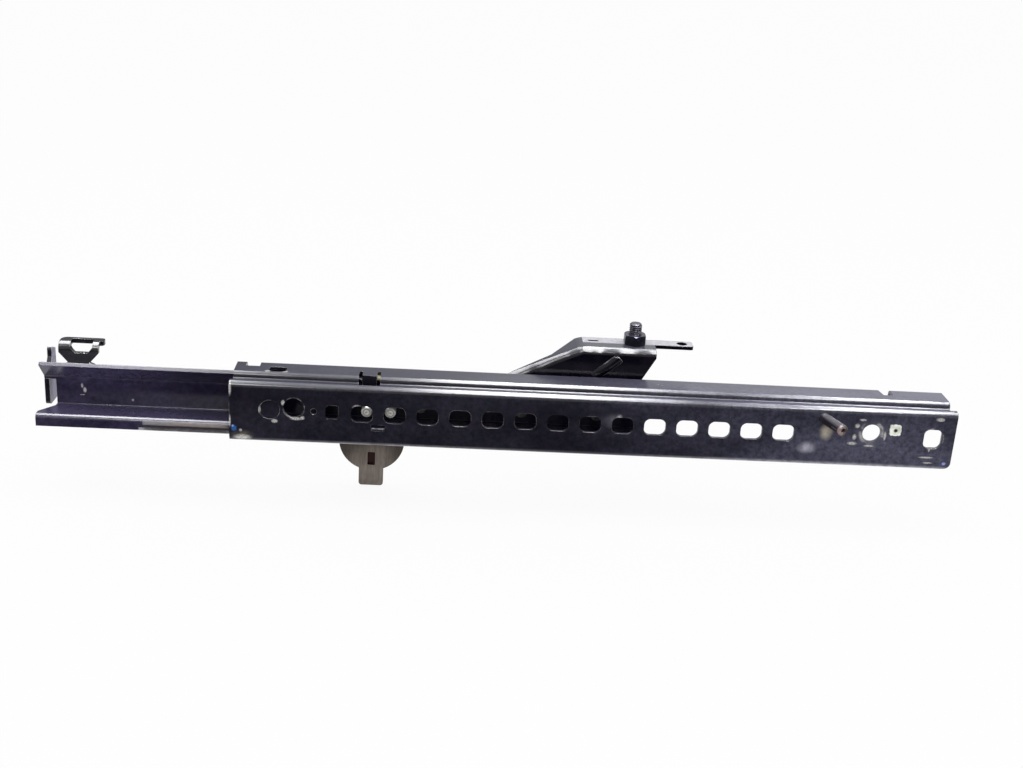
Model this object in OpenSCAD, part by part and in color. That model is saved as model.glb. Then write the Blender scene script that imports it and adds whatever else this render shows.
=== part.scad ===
// Seat slide rail: a fixed outer rail, a sliding inner rail on two rows of balls,
// a hook and a stud bracket for the seat, and a two-pin lock with its release plate.
// Millimetres. X runs along the rail, Y from the front wall to the back, Z up.

/* [Outer rail] */
// Length of the fixed rail
outer_length = 448.2; // [380:0.2:520]
// Sheet thickness of the fixed rail
outer_sheet = 2; // [1.6:0.1:2.4]
// Height of the fixed rail
outer_height = 42.8; // [40:0.1:46]
// Depth of the fixed rail, front wall to back lip
outer_depth = 27.8; // [27:0.1:28]
// Height of the ledge above the front wall
ledge_height = 38.7; // [37.5:0.1:39.2]
// Depth from the front wall to the raised part of the top
step_depth = 6.7; // [6:0.1:8]
// Bend radius at mid-sheet of the main bends
outer_bend = 2.5; // [2.2:0.1:2.8]
// Bend radius at mid-sheet of the two small bends in the step
step_bend = 1.9; // [1.7:0.1:2]
// Depth of the floor under the ball track
floor_depth = 12.5; // [11.5:0.1:14]
// Height of the lip behind the floor
floor_lip = 6.8; // [5:0.1:7]
// Height at which the back lip ends
back_lip_end = 34; // [33:0.5:37]
// Setback of the raised top from the left end of the front wall
left_setback = 1.8; // [1:0.1:4]
// Setback of the raised top from the right end of the front wall
right_setback = 3.9; // [2:0.1:5]
// Drop of the setback below the ledge
setback_drop = 3.6; // [3:0.1:4]
// Radius of the lower corner at the right end
corner_radius = 6; // [3:0.5:10]

/* [Lock slots] */
// Distance between lock slots
slot_pitch = 20; // [18:1:22]
// Least distance from the last slot to the right end
slot_tail = 106; // [100:1:112]
// Distance from the left end to the first slot
slot_start = 80.35; // [76:0.05:90]
// Height of the slot row
slot_height = 21; // [20:0.1:23]
// Width of a slot along the rail
slot_width = 13.3; // [12:0.1:14]
// Height of a slot
slot_rise = 10.6; // [9:0.1:11.6]
// Corner radius of a slot
slot_corner = 3.9; // [2:0.1:4.4]

/* [Front wall holes] */
// Distance from the left end to the front bolt hole
front_hole_x = 39; // [34:0.5:44]
// Radius of the front bolt hole
front_hole_radius = 6.3; // [5:0.1:7]
// Distance from the right end to the rear bolt hole
rear_hole_inset = 52.8; // [46:0.1:60]
// Radius of the rear bolt hole
rear_hole_radius = 5.7; // [5:0.1:6.5]
// Height of the bolt holes
bolt_height = 23.3; // [20:0.1:25]
// Distance from the left end to the half-pierced boss
boss_x = 24.5; // [18:0.1:26]
// Radius of the half-pierced boss
boss_radius = 6.2; // [4:0.1:7]
// Depth of the half-pierced boss
boss_depth = 0.8; // [0.4:0.1:1]
// Step between the boss and its punched rim
boss_step = 0.6; // [0.4:0.1:1]
// Height of the boss, the gauge hole and the square hole
punch_height = 21.5; // [20:0.1:23]
// Distance from the left end to the gauge hole
gauge_hole_x = 51.1; // [49:0.1:53]
// Radius of the gauge hole
gauge_hole_radius = 1.9; // [1:0.1:2.5]
// Distance from the left end to the square hole
square_hole_x = 62.2; // [60:0.1:64]
// Width of the square hole
square_hole_width = 7.9; // [6:0.1:9]
// Height of the square hole
square_hole_rise = 8.8; // [7:0.1:10]
// Corner radius of the square hole
square_hole_corner = 1.6; // [1:0.1:2.5]
// Distance from the right end to the end hole
end_hole_inset = 13.9; // [12:0.1:18]
// Width of the end hole
end_hole_width = 11.2; // [10:0.1:13]
// Height of the end hole
end_hole_rise = 12.4; // [10:0.1:14]
// Corner radius of the end hole
end_hole_corner = 3.6; // [2:0.1:5]
// Width of the lanced slot under the lock pins
lance_width = 8.6; // [7:0.1:10]
// Height of the lower edge of the lanced slot
lance_height = 12.2; // [11.5:0.1:13]
// Opening of the lanced slot
lance_rise = 2.2; // [1.5:0.1:2.6]
// Radius of the rolled lip below the lanced slot
lance_lip_radius = 1.1; // [0.8:0.1:1.4]
// Distance from the end of the lanced slot to its rolled lip
lance_lip_inset = 0.3; // [0.2:0.1:0.6]
// Depth of the rolled lip's middle behind the front face
lance_lip_depth = 0.2; // [0:0.1:0.4]
// Drop of the rolled lip's middle below the lanced slot
lance_lip_drop = 0.77; // [0.6:0.01:0.9]

/* [Top openings] */
// Distance from the left end to the stop window
window_x = 77.6; // [70:0.1:84]
// Length of the stop window along the rail
window_length = 13.2; // [10:0.1:16]
// Width of the notch at each end of the stop window
window_notch = 2.2; // [1:0.1:3]
// Back edge of the stop window
window_back = 17; // [15:0.1:18.5]
// Depth of the ledge left in front of the stop window
window_front = 3.8; // [3.6:0.1:4.5]
// Reach of the stop tab below the top
tab_drop = 7; // [4:0.5:9]
// Distance from the left end to the drain slot in the top
drain_x = 28; // [26:0.5:34]
// Length of the drain slot
drain_length = 10.5; // [8:0.5:12]
// Width of the drain slot
drain_width = 8; // [4:0.5:9]
// Corner radius of the drain slot
drain_corner = 2.6; // [1.5:0.1:2.9]
// Depth of the drain slot's middle behind the front wall
drain_depth = 14.2; // [13:0.05:16]
// Distance from the left end to the front edge notch
front_notch_x = 7.7; // [6:0.1:9]
// Length of the front edge notch
front_notch_length = 8.6; // [6:0.1:10]
// Distance from the right end to the rear edge notch
rear_notch_inset = 45.2; // [40:0.1:48]
// Length of the rear edge notch
rear_notch_length = 8.1; // [6:0.1:12]
// Depth of the front edge notch
front_notch_depth = 9.4; // [4:0.1:10]
// Depth of the rear edge notch
rear_notch_depth = 11.4; // [5:0.1:12]
// Slant of the rear edge notch's left side
rear_notch_slant = 1.8; // [0:0.1:3]

/* [Stop pin and clip] */
// Distance from the right end to the stop pin
stop_pin_inset = 83.3; // [75:0.1:90]
// Height of the stop pin
stop_pin_height = 31.8; // [29:0.1:32.5]
// Radius of the stop pin
stop_pin_radius = 3.5; // [2.4:0.1:3.8]
// Radius of the stop pin's seat in the wall
stop_seat_radius = 3; // [2:0.1:3.2]
// Length of the stop pin in front of the wall
stop_pin_length = 20.5; // [10:0.5:24]
// Lean of the stop pin towards the right end
stop_pin_lean = 19; // [0:1:35]
// Chamfer at the free end of the stop pin
stop_chamfer = 0.6; // [0.3:0.1:1]
// Radius of the recess in the stop pin's end
stop_recess_radius = 1.6; // [0.8:0.1:2]
// Depth of the recess in the stop pin's end
stop_recess = 1.2; // [0.6:0.1:2]
// Radius of the stop pin's riveted head behind the wall
stop_head_radius = 4.4; // [3.8:0.1:4.8]
// Thickness of the stop pin's riveted head
stop_head = 1; // [0.8:0.1:1.5]
// Distance from the right end to the trim clip
clip_inset = 38.4; // [34:0.1:39]
// Height of the trim clip
clip_height = 26.2; // [22:0.1:27]
// Radius of the trim clip head
clip_radius = 4.4; // [3.5:0.1:5]
// Thickness of the trim clip head
clip_head = 1.4; // [1:0.1:2]
// Radius of the round middle of the trim clip head
clip_disc_radius = 3.6; // [2.8:0.1:3.8]
// Radius of one lobe of the trim clip head
clip_lobe_radius = 1.1; // [0.8:0.1:2]
// Radius of the trim clip's shank in the wall
clip_shank_radius = 1.9; // [1.5:0.1:2.3]
// Radius of the trim clip's barb behind the wall
clip_barb_radius = 2.5; // [2:0.1:3]
// Thickness of the trim clip's barb
clip_barb = 1.6; // [1:0.1:2]
// Radius of the hole through the trim clip
clip_bore_radius = 0.84; // [0.6:0.02:1]

/* [Inner rail] */
// Length of the sliding rail
inner_length = 372; // [360:1:390]
// Overhang of the sliding rail past the left end of the fixed rail
inner_overhang = 118; // [110:1:125]
// Sheet thickness of the sliding rail
inner_sheet = 2.4; // [2:0.1:2.6]
// Gap between the front wall and the lower flange
flange_gap = 3; // [2.8:0.1:3.2]
// Clearance under the lower flange
flange_clearance = 0.4; // [0.3:0.1:0.8]
// Height of the shelf
shelf_height = 10.2; // [10:0.1:11]
// Fall of the shelf towards the web
shelf_fall = 1.8; // [0.5:0.1:2]
// Clearance between the web and the back of the fixed rail
web_clearance = 0.3; // [0.2:0.1:0.6]
// Lean of the upper lip from upright
lip_lean = 45; // [42:1:46]
// Length of the upper lip above the ball contact
lip_over = 3.3; // [2.8:0.05:3.4]
// Bend radius at mid-sheet of the lower bends
inner_bend = 1.8; // [1.6:0.1:3]
// Bend radius at mid-sheet under the upper lip
lip_bend = 4; // [3:0.1:5]
// Travel of the sliding rail
rail_travel = 240; // [200:1:240]
// Length of the web cut away for the end plate
web_cut = 7.2; // [6:0.1:9]
// Distance from the front of the lower flange to the shelf's slanted corner
shelf_cut = 4.4; // [3:0.1:6]

/* [Balls and cages] */
// Radius of the upper balls
upper_ball_radius = 2.38; // [2.2:0.01:2.4]
// Radius of the lower balls
lower_ball_radius = 2; // [1.9:0.05:2.1]
// Running clearance between a ball and its track
ball_clearance = 0.12; // [0.1:0.01:0.2]
// Height of the lower ball row
lower_ball_height = 4.55; // [4.4:0.05:4.8]
// Distance from the left end to the upper cage at rest
upper_cage_x = 88; // [80:1:95]
// Length of the upper cage
upper_cage_length = 160; // [140:1:164]
// Distance from the left end to the lower cage at rest
lower_cage_x = 62; // [55:1:70]
// Length of the lower cage
lower_cage_length = 186; // [160:1:190]
// Number of balls at each end of a cage
balls_per_end = 3; // [2:1:4]
// Distance between neighbouring balls
ball_pitch = 15; // [8:1:18]
// Distance from the end of a cage to its first ball
ball_inset = 6; // [5:0.5:9]
// Thickness of a cage strip
cage_sheet = 1.2; // [1:0.1:1.3]
// Clearance between a ball and its cage
cage_clearance = 0.15; // [0.1:0.01:0.3]
// Clearance between the upper cage and the top of the fixed rail
upper_cage_gap = 0.4; // [0.3:0.05:0.5]
// Width of the upper cage in front of the lip
upper_cage_over = 6; // [4:0.5:7]
// Width of the upper cage behind the ball row
upper_cage_back = 1; // [0.5:0.1:1.5]
// Gap between the front wall and the lower cage
lower_cage_gap = 0.9; // [0.6:0.1:1]
// Clearance below the lower cage
lower_cage_low = 0.8; // [0.5:0.1:1]
// Clearance between the lower cage and the shelf's top
lower_cage_high = 0.7; // [0.5:0.1:1]

/* [Hook bracket] */
// Sheet thickness of the hook bracket and the end plate
hook_sheet = 3; // [2.5:0.1:3.2]
// Distance from the left end of the sliding rail to the hook wall
hook_inset = 8.8; // [8:0.1:12]
// Width of the hook wall
hook_width = 24.4; // [20:0.1:28]
// Height of the hook's top plate
hook_height = 48; // [46:0.5:52]
// Depth of the hook's top plate
hook_depth = 11; // [10:0.5:16]
// Outer bend radius of the hook
hook_bend = 5; // [4.5:0.1:6]
// Reach of the hook's top plate past its wall
hook_reach = 2.4; // [1:0.1:4]
// Width of the hook's neck
neck_width = 13; // [10:0.1:16]
// Width of the opening in the hook
hook_window = 13.6; // [10:0.1:16]
// Width of the opening at its foot in the hook's wall
window_foot = 8; // [6:0.1:10]
// Shift of the opening from the middle of the hook
hook_window_shift = 1.6; // [0:0.1:4]
// Depth of the opening in the hook's top plate
hook_window_depth = 8.5; // [7:0.1:9.5]
// Height of the widest part of the hook below its top
hook_taper = 6.5; // [5.5:0.1:8]
// Height of the neck below the widest part of the hook
neck_drop_height = 6.5; // [5:0.1:8]
// Length of the hook's base plate past the middle of the hook
base_length = 30; // [24:1:36]
// Corner radius at the back of the hook's top plate
hook_corner = 4; // [2:0.5:5]
// Corner radius of the reach of the hook's top plate
reach_corner = 2; // [1:0.1:2.4]
// Distance from the shelf to a plate on the back of the web
plate_lift = 1; // [0.8:0.1:2]
// Height of the end plate
end_plate_height = 42.5; // [40:0.1:44]
// Depth of the end plate
end_plate_depth = 17; // [14:0.5:20]
// Depth of the step at the top of the end plate
end_plate_step = 9; // [7:0.5:11]
// Fall of the end plate's top edge towards the back
end_plate_fall = 3; // [1:0.1:4]
// Corner radius of the end plate
end_plate_corner = 2.5; // [1.5:0.1:3.5]

/* [Seat bracket] */
// Sheet thickness of the seat bracket
seat_sheet = 2.4; // [2:0.1:3]
// Height of the seat bracket's top
seat_height = 60; // [55:0.5:66]
// Depth of the seat bracket's top
seat_depth = 22; // [20:0.5:26]
// Radius of the seat bracket's front edge
seat_bend = 5; // [3:0.1:5.5]
// Distance from the left end of the fixed rail to the top of the ramp
ramp_x = 215; // [208:1:220]
// Slope of the ramp
ramp_slope = 24; // [20:1:26]
// Run of the ramp along the rail
ramp_run = 50; // [44:1:54]
// Distance from the top of the ramp to the waist of its back edge
waist_run = 18.5; // [16:0.5:24]
// Depth of the ramp at its waist
waist_depth = 8.4; // [8:0.5:14]
// Depth of the ramp at its foot
ramp_foot_depth = 3.4; // [3:0.1:6]
// Length of the flat top
seat_flat = 47; // [44:1:52]
// Length of the tongue
tongue_length = 25; // [20:1:30]
// Width of the tongue
tongue_width = 10; // [8:0.5:12]
// Radius of the hole in the tongue
tongue_hole_radius = 3.3; // [2.5:0.1:4]
// Distance from the tongue's end to its hole
tongue_hole_inset = 7; // [5:0.5:9]
// Corner radius of the tongue's end
tongue_corner = 2; // [1:0.1:3]
// Radius of the bend between the ramp and the top
ramp_bend = 16; // [8:1:20]
// Distance from the top of the ramp to the foot of the bead
bead_foot = 8.3; // [5:0.1:12]
// Distance from the top of the ramp to the head of the bead
bead_head = 24; // [20:0.5:28]
// Drop of the bead's foot below the top
bead_foot_drop = 19; // [16:0.5:22]
// Drop of the bead's head below the top
bead_head_drop = 5.6; // [5:0.1:8]
// Radius of the bead
bead_radius = 5; // [2.5:0.1:6]
// Stand of the bead in front of the wall
bead_rise = 1.1; // [0.6:0.1:1.8]
// Length of the wall's foot cut back at the right
foot_cut = 16; // [12:1:20]
// Distance from the top of the ramp to the small slot in the top
vent_x = 8; // [6:0.5:12]
// Distance from the wall to the small slot in the top
vent_y = 15.5; // [13:0.5:17]
// Length of the small slot in the top
vent_length = 7; // [5:0.5:9]
// Width of the small slot in the top
vent_width = 2.4; // [2:0.1:3]
// Distance from the top of the ramp to the stud
stud_run = 34; // [28:0.5:38]
// Distance from the back of the web to the stud
stud_offset = 13.3; // [11:0.1:15]
// Distance from the top of the ramp to the left rivet
left_rivet_run = 36; // [30:1:42]
// Distance from the top of the ramp to the right rivet
right_rivet_run = 12; // [8:1:20]
// Height of the rivets
rivet_height = 17; // [16:0.5:19]
// Radius of the seat stud
stud_radius = 4; // [3:0.5:5]
// Step from the stud's free end to its shank in the nut
stud_step = 0.2; // [0.1:0.05:0.3]
// Height of the stud's shank above the nut
stud_stand = 0.4; // [0.3:0.1:0.8]
// Height of the seat stud above the bracket
stud_rise = 13.6; // [12:0.1:20]
// Chamfer at the tip of the seat stud
stud_chamfer = 0.8; // [0.4:0.1:1.2]
// Radius of the seat stud's head under the bracket
stud_head_radius = 6.5; // [6:0.1:8]
// Thickness of the seat stud's head
stud_head = 2; // [1.5:0.1:3]
// Width of the nut across its flats
nut_flats = 13; // [12:0.5:16]
// Height of the nut
nut_height = 6.5; // [6:0.1:9]
// Chamfer of the nut
nut_chamfer = 0.8; // [0.4:0.1:1.2]
// Width of the nut's flat ring outside its flats
nut_ring = 0.2; // [0.1:0.1:0.4]
// Radius of a rivet
rivet_radius = 2.5; // [2:0.1:3]
// Radius of a rivet head
rivet_head_radius = 4; // [3.5:0.1:4.5]
// Thickness of a rivet head
rivet_head = 1.6; // [1:0.1:2]

/* [Lock] */
// Radius of a lock pin
pin_radius = 3.4; // [3:0.1:3.8]
// Distance between the lock pins
pin_spacing = 14.4; // [14:0.1:16.4]
// Height of the lock pins above the middle of the slots
pin_lift = 0.6; // [0:0.1:1]
// Stroke of the lock pins
pin_stroke = 4; // [3:0.1:4.5]
// Gap between a withdrawn pin and the front wall
pin_gap = 0.4; // [0.3:0.1:0.8]
// Wall of a guide bush
bush_wall = 1; // [0.8:0.1:1.2]
// Running clearance of a pin in its bush
bush_clearance = 0.2; // [0.15:0.05:0.3]
// Thickness of a bush flange
bush_flange = 1.2; // [1:0.1:1.5]
// Width of a bush flange round its bush
bush_rim = 1.6; // [1:0.1:2]
// Height of the chamfer at a pin's tip
pin_chamfer = 0.9; // [0.5:0.1:1.2]
// Radius lost in the chamfer at a pin's tip
pin_taper = 0.7; // [0.4:0.1:1]
// Length of a pin past the middle of the yoke
pin_tail = 1.7; // [1:0.1:2]
// Length of the yoke past a pin
yoke_over = 1.5; // [1:0.1:3]
// Radius of the yoke bar that joins the pins
yoke_radius = 2.5; // [2:0.1:3]
// Gap between the yoke and the release plate
yoke_gap = 0.4; // [0.3:0.05:0.6]
// Thickness of the release plate
plate_sheet = 2.5; // [2:0.1:3]
// Width of the release plate
plate_width = 42; // [38:0.5:46]
// Distance from the first slot to the middle of the release plate
plate_shift = 4.3; // [2:0.1:8]
// Drop of the round end's centre below the fixed rail
plate_drop = 13.4; // [10:0.1:22]
// Width of the release plate's neck
plate_neck = 15.8; // [12:0.1:18]
// Drop of the neck's end below the fixed rail
neck_drop = 45; // [42:0.5:50]
// Corner radius of the neck's end
neck_corner = 2; // [1:0.1:3]
// Step at each side of the plate above the pivot
plate_shoulder = 5; // [3:0.5:8]
// Height of the plate above the lock pins
plate_over = 4; // [3:0.5:6]
// Width of the pressed pocket
pocket_width = 4.8; // [4:0.1:6]
// Height of the pressed pocket
pocket_rise = 9; // [7:0.1:11]
// Corner radius of the pressed pocket
pocket_corner = 0.7; // [0.6:0.1:2]
// Drop of the pressed pocket's middle below the fixed rail
pocket_drop = 26.2; // [24:0.1:30]
// Depth of the pressed pocket
pocket_depth = 1.7; // [1:0.1:1.9]
// Height of the lock pivot
pivot_height = 3; // [2:0.1:4]
// Distance from the web to the lock pivot
pivot_offset = 6; // [5.7:0.1:6.2]
// Radius of the lock pivot pin
pivot_radius = 2; // [1.5:0.1:2.2]
// Radius of an ear round the pivot
ear_radius = 4.6; // [4:0.1:5]
// Side clearance between an ear and its cheek
cheek_clearance = 0.8; // [0.5:0.1:1.2]
// Thickness of a lock bracket cheek
cheek_sheet = 2.5; // [2:0.1:3]
// Length of a lock bracket foot
foot_length = 13; // [11:0.5:15]
// Height of a lock bracket foot
foot_height = 11; // [9:0.5:12]
// Thickness of a pivot pin head
pivot_head = 1.2; // [0.8:0.1:1.6]
// Width of a pivot pin head round the pin
pivot_rim = 1; // [0.6:0.1:1.5]
// Radius of the spring wire
wire_radius = 0.7; // [0.5:0.05:0.8]
// Number of turns of the return spring
spring_turns = 5; // [3:1:7]
// Gap between the spring and the pivot pin
coil_gap = 0.6; // [0.4:0.1:0.8]
// Gap between neighbouring turns of the spring
turn_gap = 0.15; // [0.1:0.05:0.3]
// Length of a spring leg
leg_length = 13; // [10:0.5:15]
// Length of a spring leg past the pivot
leg_over = 2; // [1:0.5:3]

/* [Hidden] */
$fn = 96;
eps = 0.01;
edge_rest = 0.1;
far = 60;
half = outer_sheet / 2;
coat = [0.16, 0.16, 0.19];
steel = [0.62, 0.6, 0.57];
zinc = [0.72, 0.72, 0.7];
nylon = [0.93, 0.91, 0.84];
wall_in = outer_sheet;
slot_count = floor((outer_length - slot_start - slot_tail) / slot_pitch) + 1;
rear_hole_x = outer_length - rear_hole_inset;
stop_pin_x = outer_length - stop_pin_inset;
clip_x = outer_length - clip_inset;
tab_front = step_depth + step_bend + half;
top_in = outer_height - outer_sheet;
back_in = outer_depth - outer_sheet;
outer_path = [
  [floor_depth - half, floor_lip],
  [floor_depth - half, half],
  [half, half],
  [half, ledge_height - half],
  [step_depth + half, ledge_height - half],
  [step_depth + half, outer_height - half],
  [outer_depth - half, outer_height - half],
  [outer_depth - half, back_lip_end],
];
outer_radii = [0, outer_bend, outer_bend, outer_bend, step_bend, step_bend, outer_bend, 0];
// Upper balls sit in the top back corner, on the back of the leaning lip
upper_ball = [back_in - upper_ball_radius - ball_clearance, top_in - upper_ball_radius - ball_clearance];
lip_normal = [cos(lip_lean), sin(lip_lean)];
lip_up = [-sin(lip_lean), cos(lip_lean)];
lip_contact = upper_ball - lip_normal * (upper_ball_radius + ball_clearance + inner_sheet / 2);
lip_tip = lip_contact + lip_up * lip_over;
web_front = outer_depth + web_clearance;
web_back = web_front + inner_sheet;
web_mid = web_front + inner_sheet / 2;
lip_foot = lip_tip[1] - (web_mid - lip_tip[0]) / tan(lip_lean);
flange_front = wall_in + flange_gap;
inner_path = [
  [flange_front + inner_sheet / 2, outer_sheet + flange_clearance],
  [flange_front + inner_sheet / 2, shelf_height - inner_sheet / 2],
  [web_mid, shelf_height - shelf_fall - inner_sheet / 2],
  [web_mid, lip_foot],
  lip_tip,
];
inner_radii = [0, inner_bend, inner_bend, lip_bend, 0];
bend_steps = 8;
web_cut_top = lip_foot - inner_sheet;
inner_left = -inner_overhang;
lower_ball = [wall_in + ball_clearance + lower_ball_radius, lower_ball_height];
track_radius = lower_ball_radius + ball_clearance;
track_left = lower_cage_x + ball_inset - rail_travel / 2 - 2 * lower_ball_radius;
lock_x = slot_start + slot_pitch / 2;
pin_height = slot_height + pin_lift;
pin_tip = wall_in + pin_gap;
bush_radius = pin_radius + bush_clearance + bush_wall;
yoke_y = web_back + bush_flange + pin_gap + pin_stroke + yoke_radius;
plate_front = yoke_y + yoke_radius + yoke_gap;
plate_mid = slot_start + plate_shift;
pivot_y = web_back + pivot_offset;
cheek_gap = plate_width / 2 + cheek_clearance;
foot_low = rivet_height - foot_height / 2;
foot_mid = cheek_gap + cheek_sheet + foot_length / 2;
hook_left = inner_left + hook_inset;
hook_mid = hook_left + hook_width / 2;
taper_height = hook_height - hook_taper;
neck_height = taper_height - neck_drop_height;
stud_x = ramp_x + stud_run;
stud_y = web_back + stud_offset;
shank_radius = stud_radius + stud_step;
tongue_front = web_back + seat_depth - tongue_width;
tongue_end = ramp_x + seat_flat + tongue_length;
seat_rivets_x = [ramp_x - left_rivet_run, ramp_x + right_rivet_run];

function unit(v) = v / norm(v);
function half_turn(p, i) = acos(unit(p[i] - p[i - 1]) * unit(p[i + 1] - p[i])) / 2;
function setback(p, r, i) = (i == 0 || i == len(p) - 1) ? 0 : r[i] * tan(half_turn(p, i));
function ball_places(x, length) = [for (k = [0 : balls_per_end - 1]) for (side = [0, 1])
  side == 0 ? x + ball_inset + k * ball_pitch : x + length - ball_inset - k * ball_pitch];

// The origin is the middle of the front bolt hole, on the face of the front wall
module place() translate([-front_hole_x, 0, -bolt_height]) children();

// Profile drawn in the Y-Z plane, run along X
module along_x(x, length) translate([x, 0, 0]) rotate([90, 0, 90]) linear_extrude(length) children();

// Outline drawn in the X-Z plane, run along Y
module along_y(y, depth) translate([0, y + depth, 0]) rotate([90, 0, 0]) linear_extrude(depth) children();

module rod_x(x, y, z, r, length) translate([x, y, z]) rotate([0, 90, 0]) cylinder(r = r, h = length);

module rod_y(x, y, z, r, length) translate([x, y, z]) rotate([-90, 0, 0]) cylinder(r = r, h = length);

module rounded_rect(w, h, r) {
  square([w, h - 2 * r], center = true);
  square([w - 2 * r, h], center = true);
  for (sx = [-1, 1]) for (sy = [-1, 1]) translate([sx * (w / 2 - r), sy * (h / 2 - r)]) circle(r);
}

// One straight leg of a bent sheet
module strip_leg(p, r, t, i) {
  d = unit(p[i + 1] - p[i]);
  a = p[i] + d * setback(p, r, i);
  b = p[i + 1] - d * setback(p, r, i + 1);
  translate(a) rotate(atan2(d[1], d[0])) translate([0, -t / 2]) square([norm(b - a), t]);
}

// One bend of a bent sheet
module strip_bend(p, r, t, i) {
  d0 = unit(p[i] - p[i - 1]);
  d1 = unit(p[i + 1] - p[i]);
  s = sign(d0[0] * d1[1] - d0[1] * d1[0]);
  n0 = s * [-d0[1], d0[0]];
  n1 = s * [-d1[1], d1[0]];
  c = p[i] - d0 * setback(p, r, i) + n0 * r[i];
  w = 2 * (r[i] + t);
  intersection() {
    translate(c) difference() {
      circle(r[i] + t / 2);
      circle(r[i] - t / 2);
    }
    polygon([c, c - n0 * w, c - unit(n0 + n1) * w * 1.5, c - n1 * w]);
  }
}

// Bent sheet along a mid-line with a radius at each corner
module bent_strip(p, r, t) {
  for (i = [0 : len(p) - 2]) strip_leg(p, r, t, i);
  for (i = [1 : len(p) - 2]) strip_bend(p, r, t, i);
}

// Outline of a bent sheet with slanted legs, its bends drawn in short steps
function side_points(p, r, t, steps, side) = [for (i = [0 : len(p) - 1])
  let (d0 = unit(i > 0 ? p[i] - p[i - 1] : p[1] - p[0]))
  let (d1 = unit(i < len(p) - 1 ? p[i + 1] - p[i] : p[i] - p[i - 1]))
  let (s = sign(d0[0] * d1[1] - d0[1] * d1[0]))
  let (c = r[i] == 0 ? p[i] : p[i] - d0 * setback(p, r, i) + s * [-d0[1], d0[0]] * r[i])
  for (k = r[i] == 0 ? [0] : [0 : steps])
  let (a = atan2(d0[1], d0[0]) + s * 2 * (r[i] == 0 ? 0 : half_turn(p, i)) * k / steps)
  let (n = [-sin(a), cos(a)])
  r[i] == 0 ? p[i] + side * n * t / 2 : c - s * n * r[i] + side * n * t / 2];
module stepped_strip(p, r, t, steps)
  polygon(concat(side_points(p, r, t, steps, 1), reverse(side_points(p, r, t, steps, -1))));
function reverse(v) = [for (i = [len(v) - 1 : -1 : 0]) v[i]];

// Angle section: wall down at the front, flange back along the top, outer edge at the origin
module angle_section(t, wall, flange, bend) {
  m = t / 2;
  bent_strip([[m, -wall], [m, -m], [flange, -m]], [0, bend - m, 0], t);
}

module outer_cuts() {
  for (k = [0 : slot_count - 1])
    along_y(-1, outer_sheet + 2) translate([slot_start + k * slot_pitch, slot_height])
      rounded_rect(slot_width, slot_rise, slot_corner);
  rod_y(front_hole_x, -1, bolt_height, front_hole_radius, outer_sheet + 2);
  rod_y(rear_hole_x, -1, bolt_height, rear_hole_radius, outer_sheet + 2);
  rod_y(gauge_hole_x, -1, punch_height, gauge_hole_radius, outer_sheet + 2);
  rod_y(boss_x, -1, punch_height, boss_radius, 1 + boss_depth);
  rod_y(stop_pin_x, -1, stop_pin_height, stop_seat_radius, outer_sheet + 2);
  rod_y(clip_x, -1, clip_height, clip_shank_radius, outer_sheet + 2);
  along_y(-1, outer_sheet + 2) translate([square_hole_x, punch_height])
    rounded_rect(square_hole_width, square_hole_rise, square_hole_corner);
  along_y(-1, outer_sheet + 2) translate([outer_length - end_hole_inset, slot_height])
    rounded_rect(end_hole_width, end_hole_rise, end_hole_corner);
  along_y(-1, outer_sheet + 2) translate([lock_x, lance_height + lance_rise / 2])
    square([lance_width, lance_rise], center = true);
  // Stop window through the step, with a notch into the top at each end
  translate([window_x, window_front, ledge_height - outer_sheet - 1])
    cube([window_length, tab_front - window_front, far]);
  for (x = [window_x, window_x + window_length - window_notch])
    translate([x, tab_front - 1, top_in - 1]) cube([window_notch, window_back - tab_front + 1, far]);
  // Drain slot and edge notches
  translate([drain_x, drain_depth, top_in - 1]) linear_extrude(outer_sheet + 2)
    rounded_rect(drain_length, drain_width, drain_corner);
  translate([front_notch_x, outer_depth - front_notch_depth, back_lip_end - 1])
    cube([front_notch_length, front_notch_depth + 1, far]);
  translate([outer_length - rear_notch_inset, 0, back_lip_end - 1]) linear_extrude(far) polygon([
    [0, outer_depth + 1],
    [rear_notch_slant, outer_depth - rear_notch_depth],
    [rear_notch_length, outer_depth - rear_notch_depth],
    [rear_notch_length, outer_depth + 1],
  ]);
  // Raised top set back from both ends of the wall
  translate([-1, step_depth - outer_sheet, ledge_height - setback_drop]) cube([left_setback + 1, far, far]);
  translate([outer_length - right_setback, step_depth - outer_sheet, ledge_height - setback_drop]) cube(far);
  // Rounded lower corner at the right end
  along_y(-1, floor_depth + 2) translate([outer_length - corner_radius, corner_radius]) difference() {
    translate([0, -corner_radius - 1]) square(corner_radius + 1);
    translate([edge_rest, -edge_rest]) circle(corner_radius);
  }
}

module outer_rail() place() color(coat) {
  difference() {
    along_x(0, outer_length) bent_strip(outer_path, outer_radii, outer_sheet);
    outer_cuts();
  }
  // Half-pierced boss stands out behind the wall
  rod_y(boss_x, outer_sheet, punch_height, boss_radius - boss_step, boss_depth);
  // Rolled lip below the lanced slot
  rod_x(lock_x - lance_width / 2 + lance_lip_inset, lance_lip_depth, lance_height - lance_lip_drop,
    lance_lip_radius, lance_width - 2 * lance_lip_inset);
  // Stop tab bent down from the top between the two notches
  translate([window_x + window_notch, tab_front, top_in - tab_drop])
    cube([window_length - 2 * window_notch, outer_sheet, tab_drop + outer_sheet / 2]);
}

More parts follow.
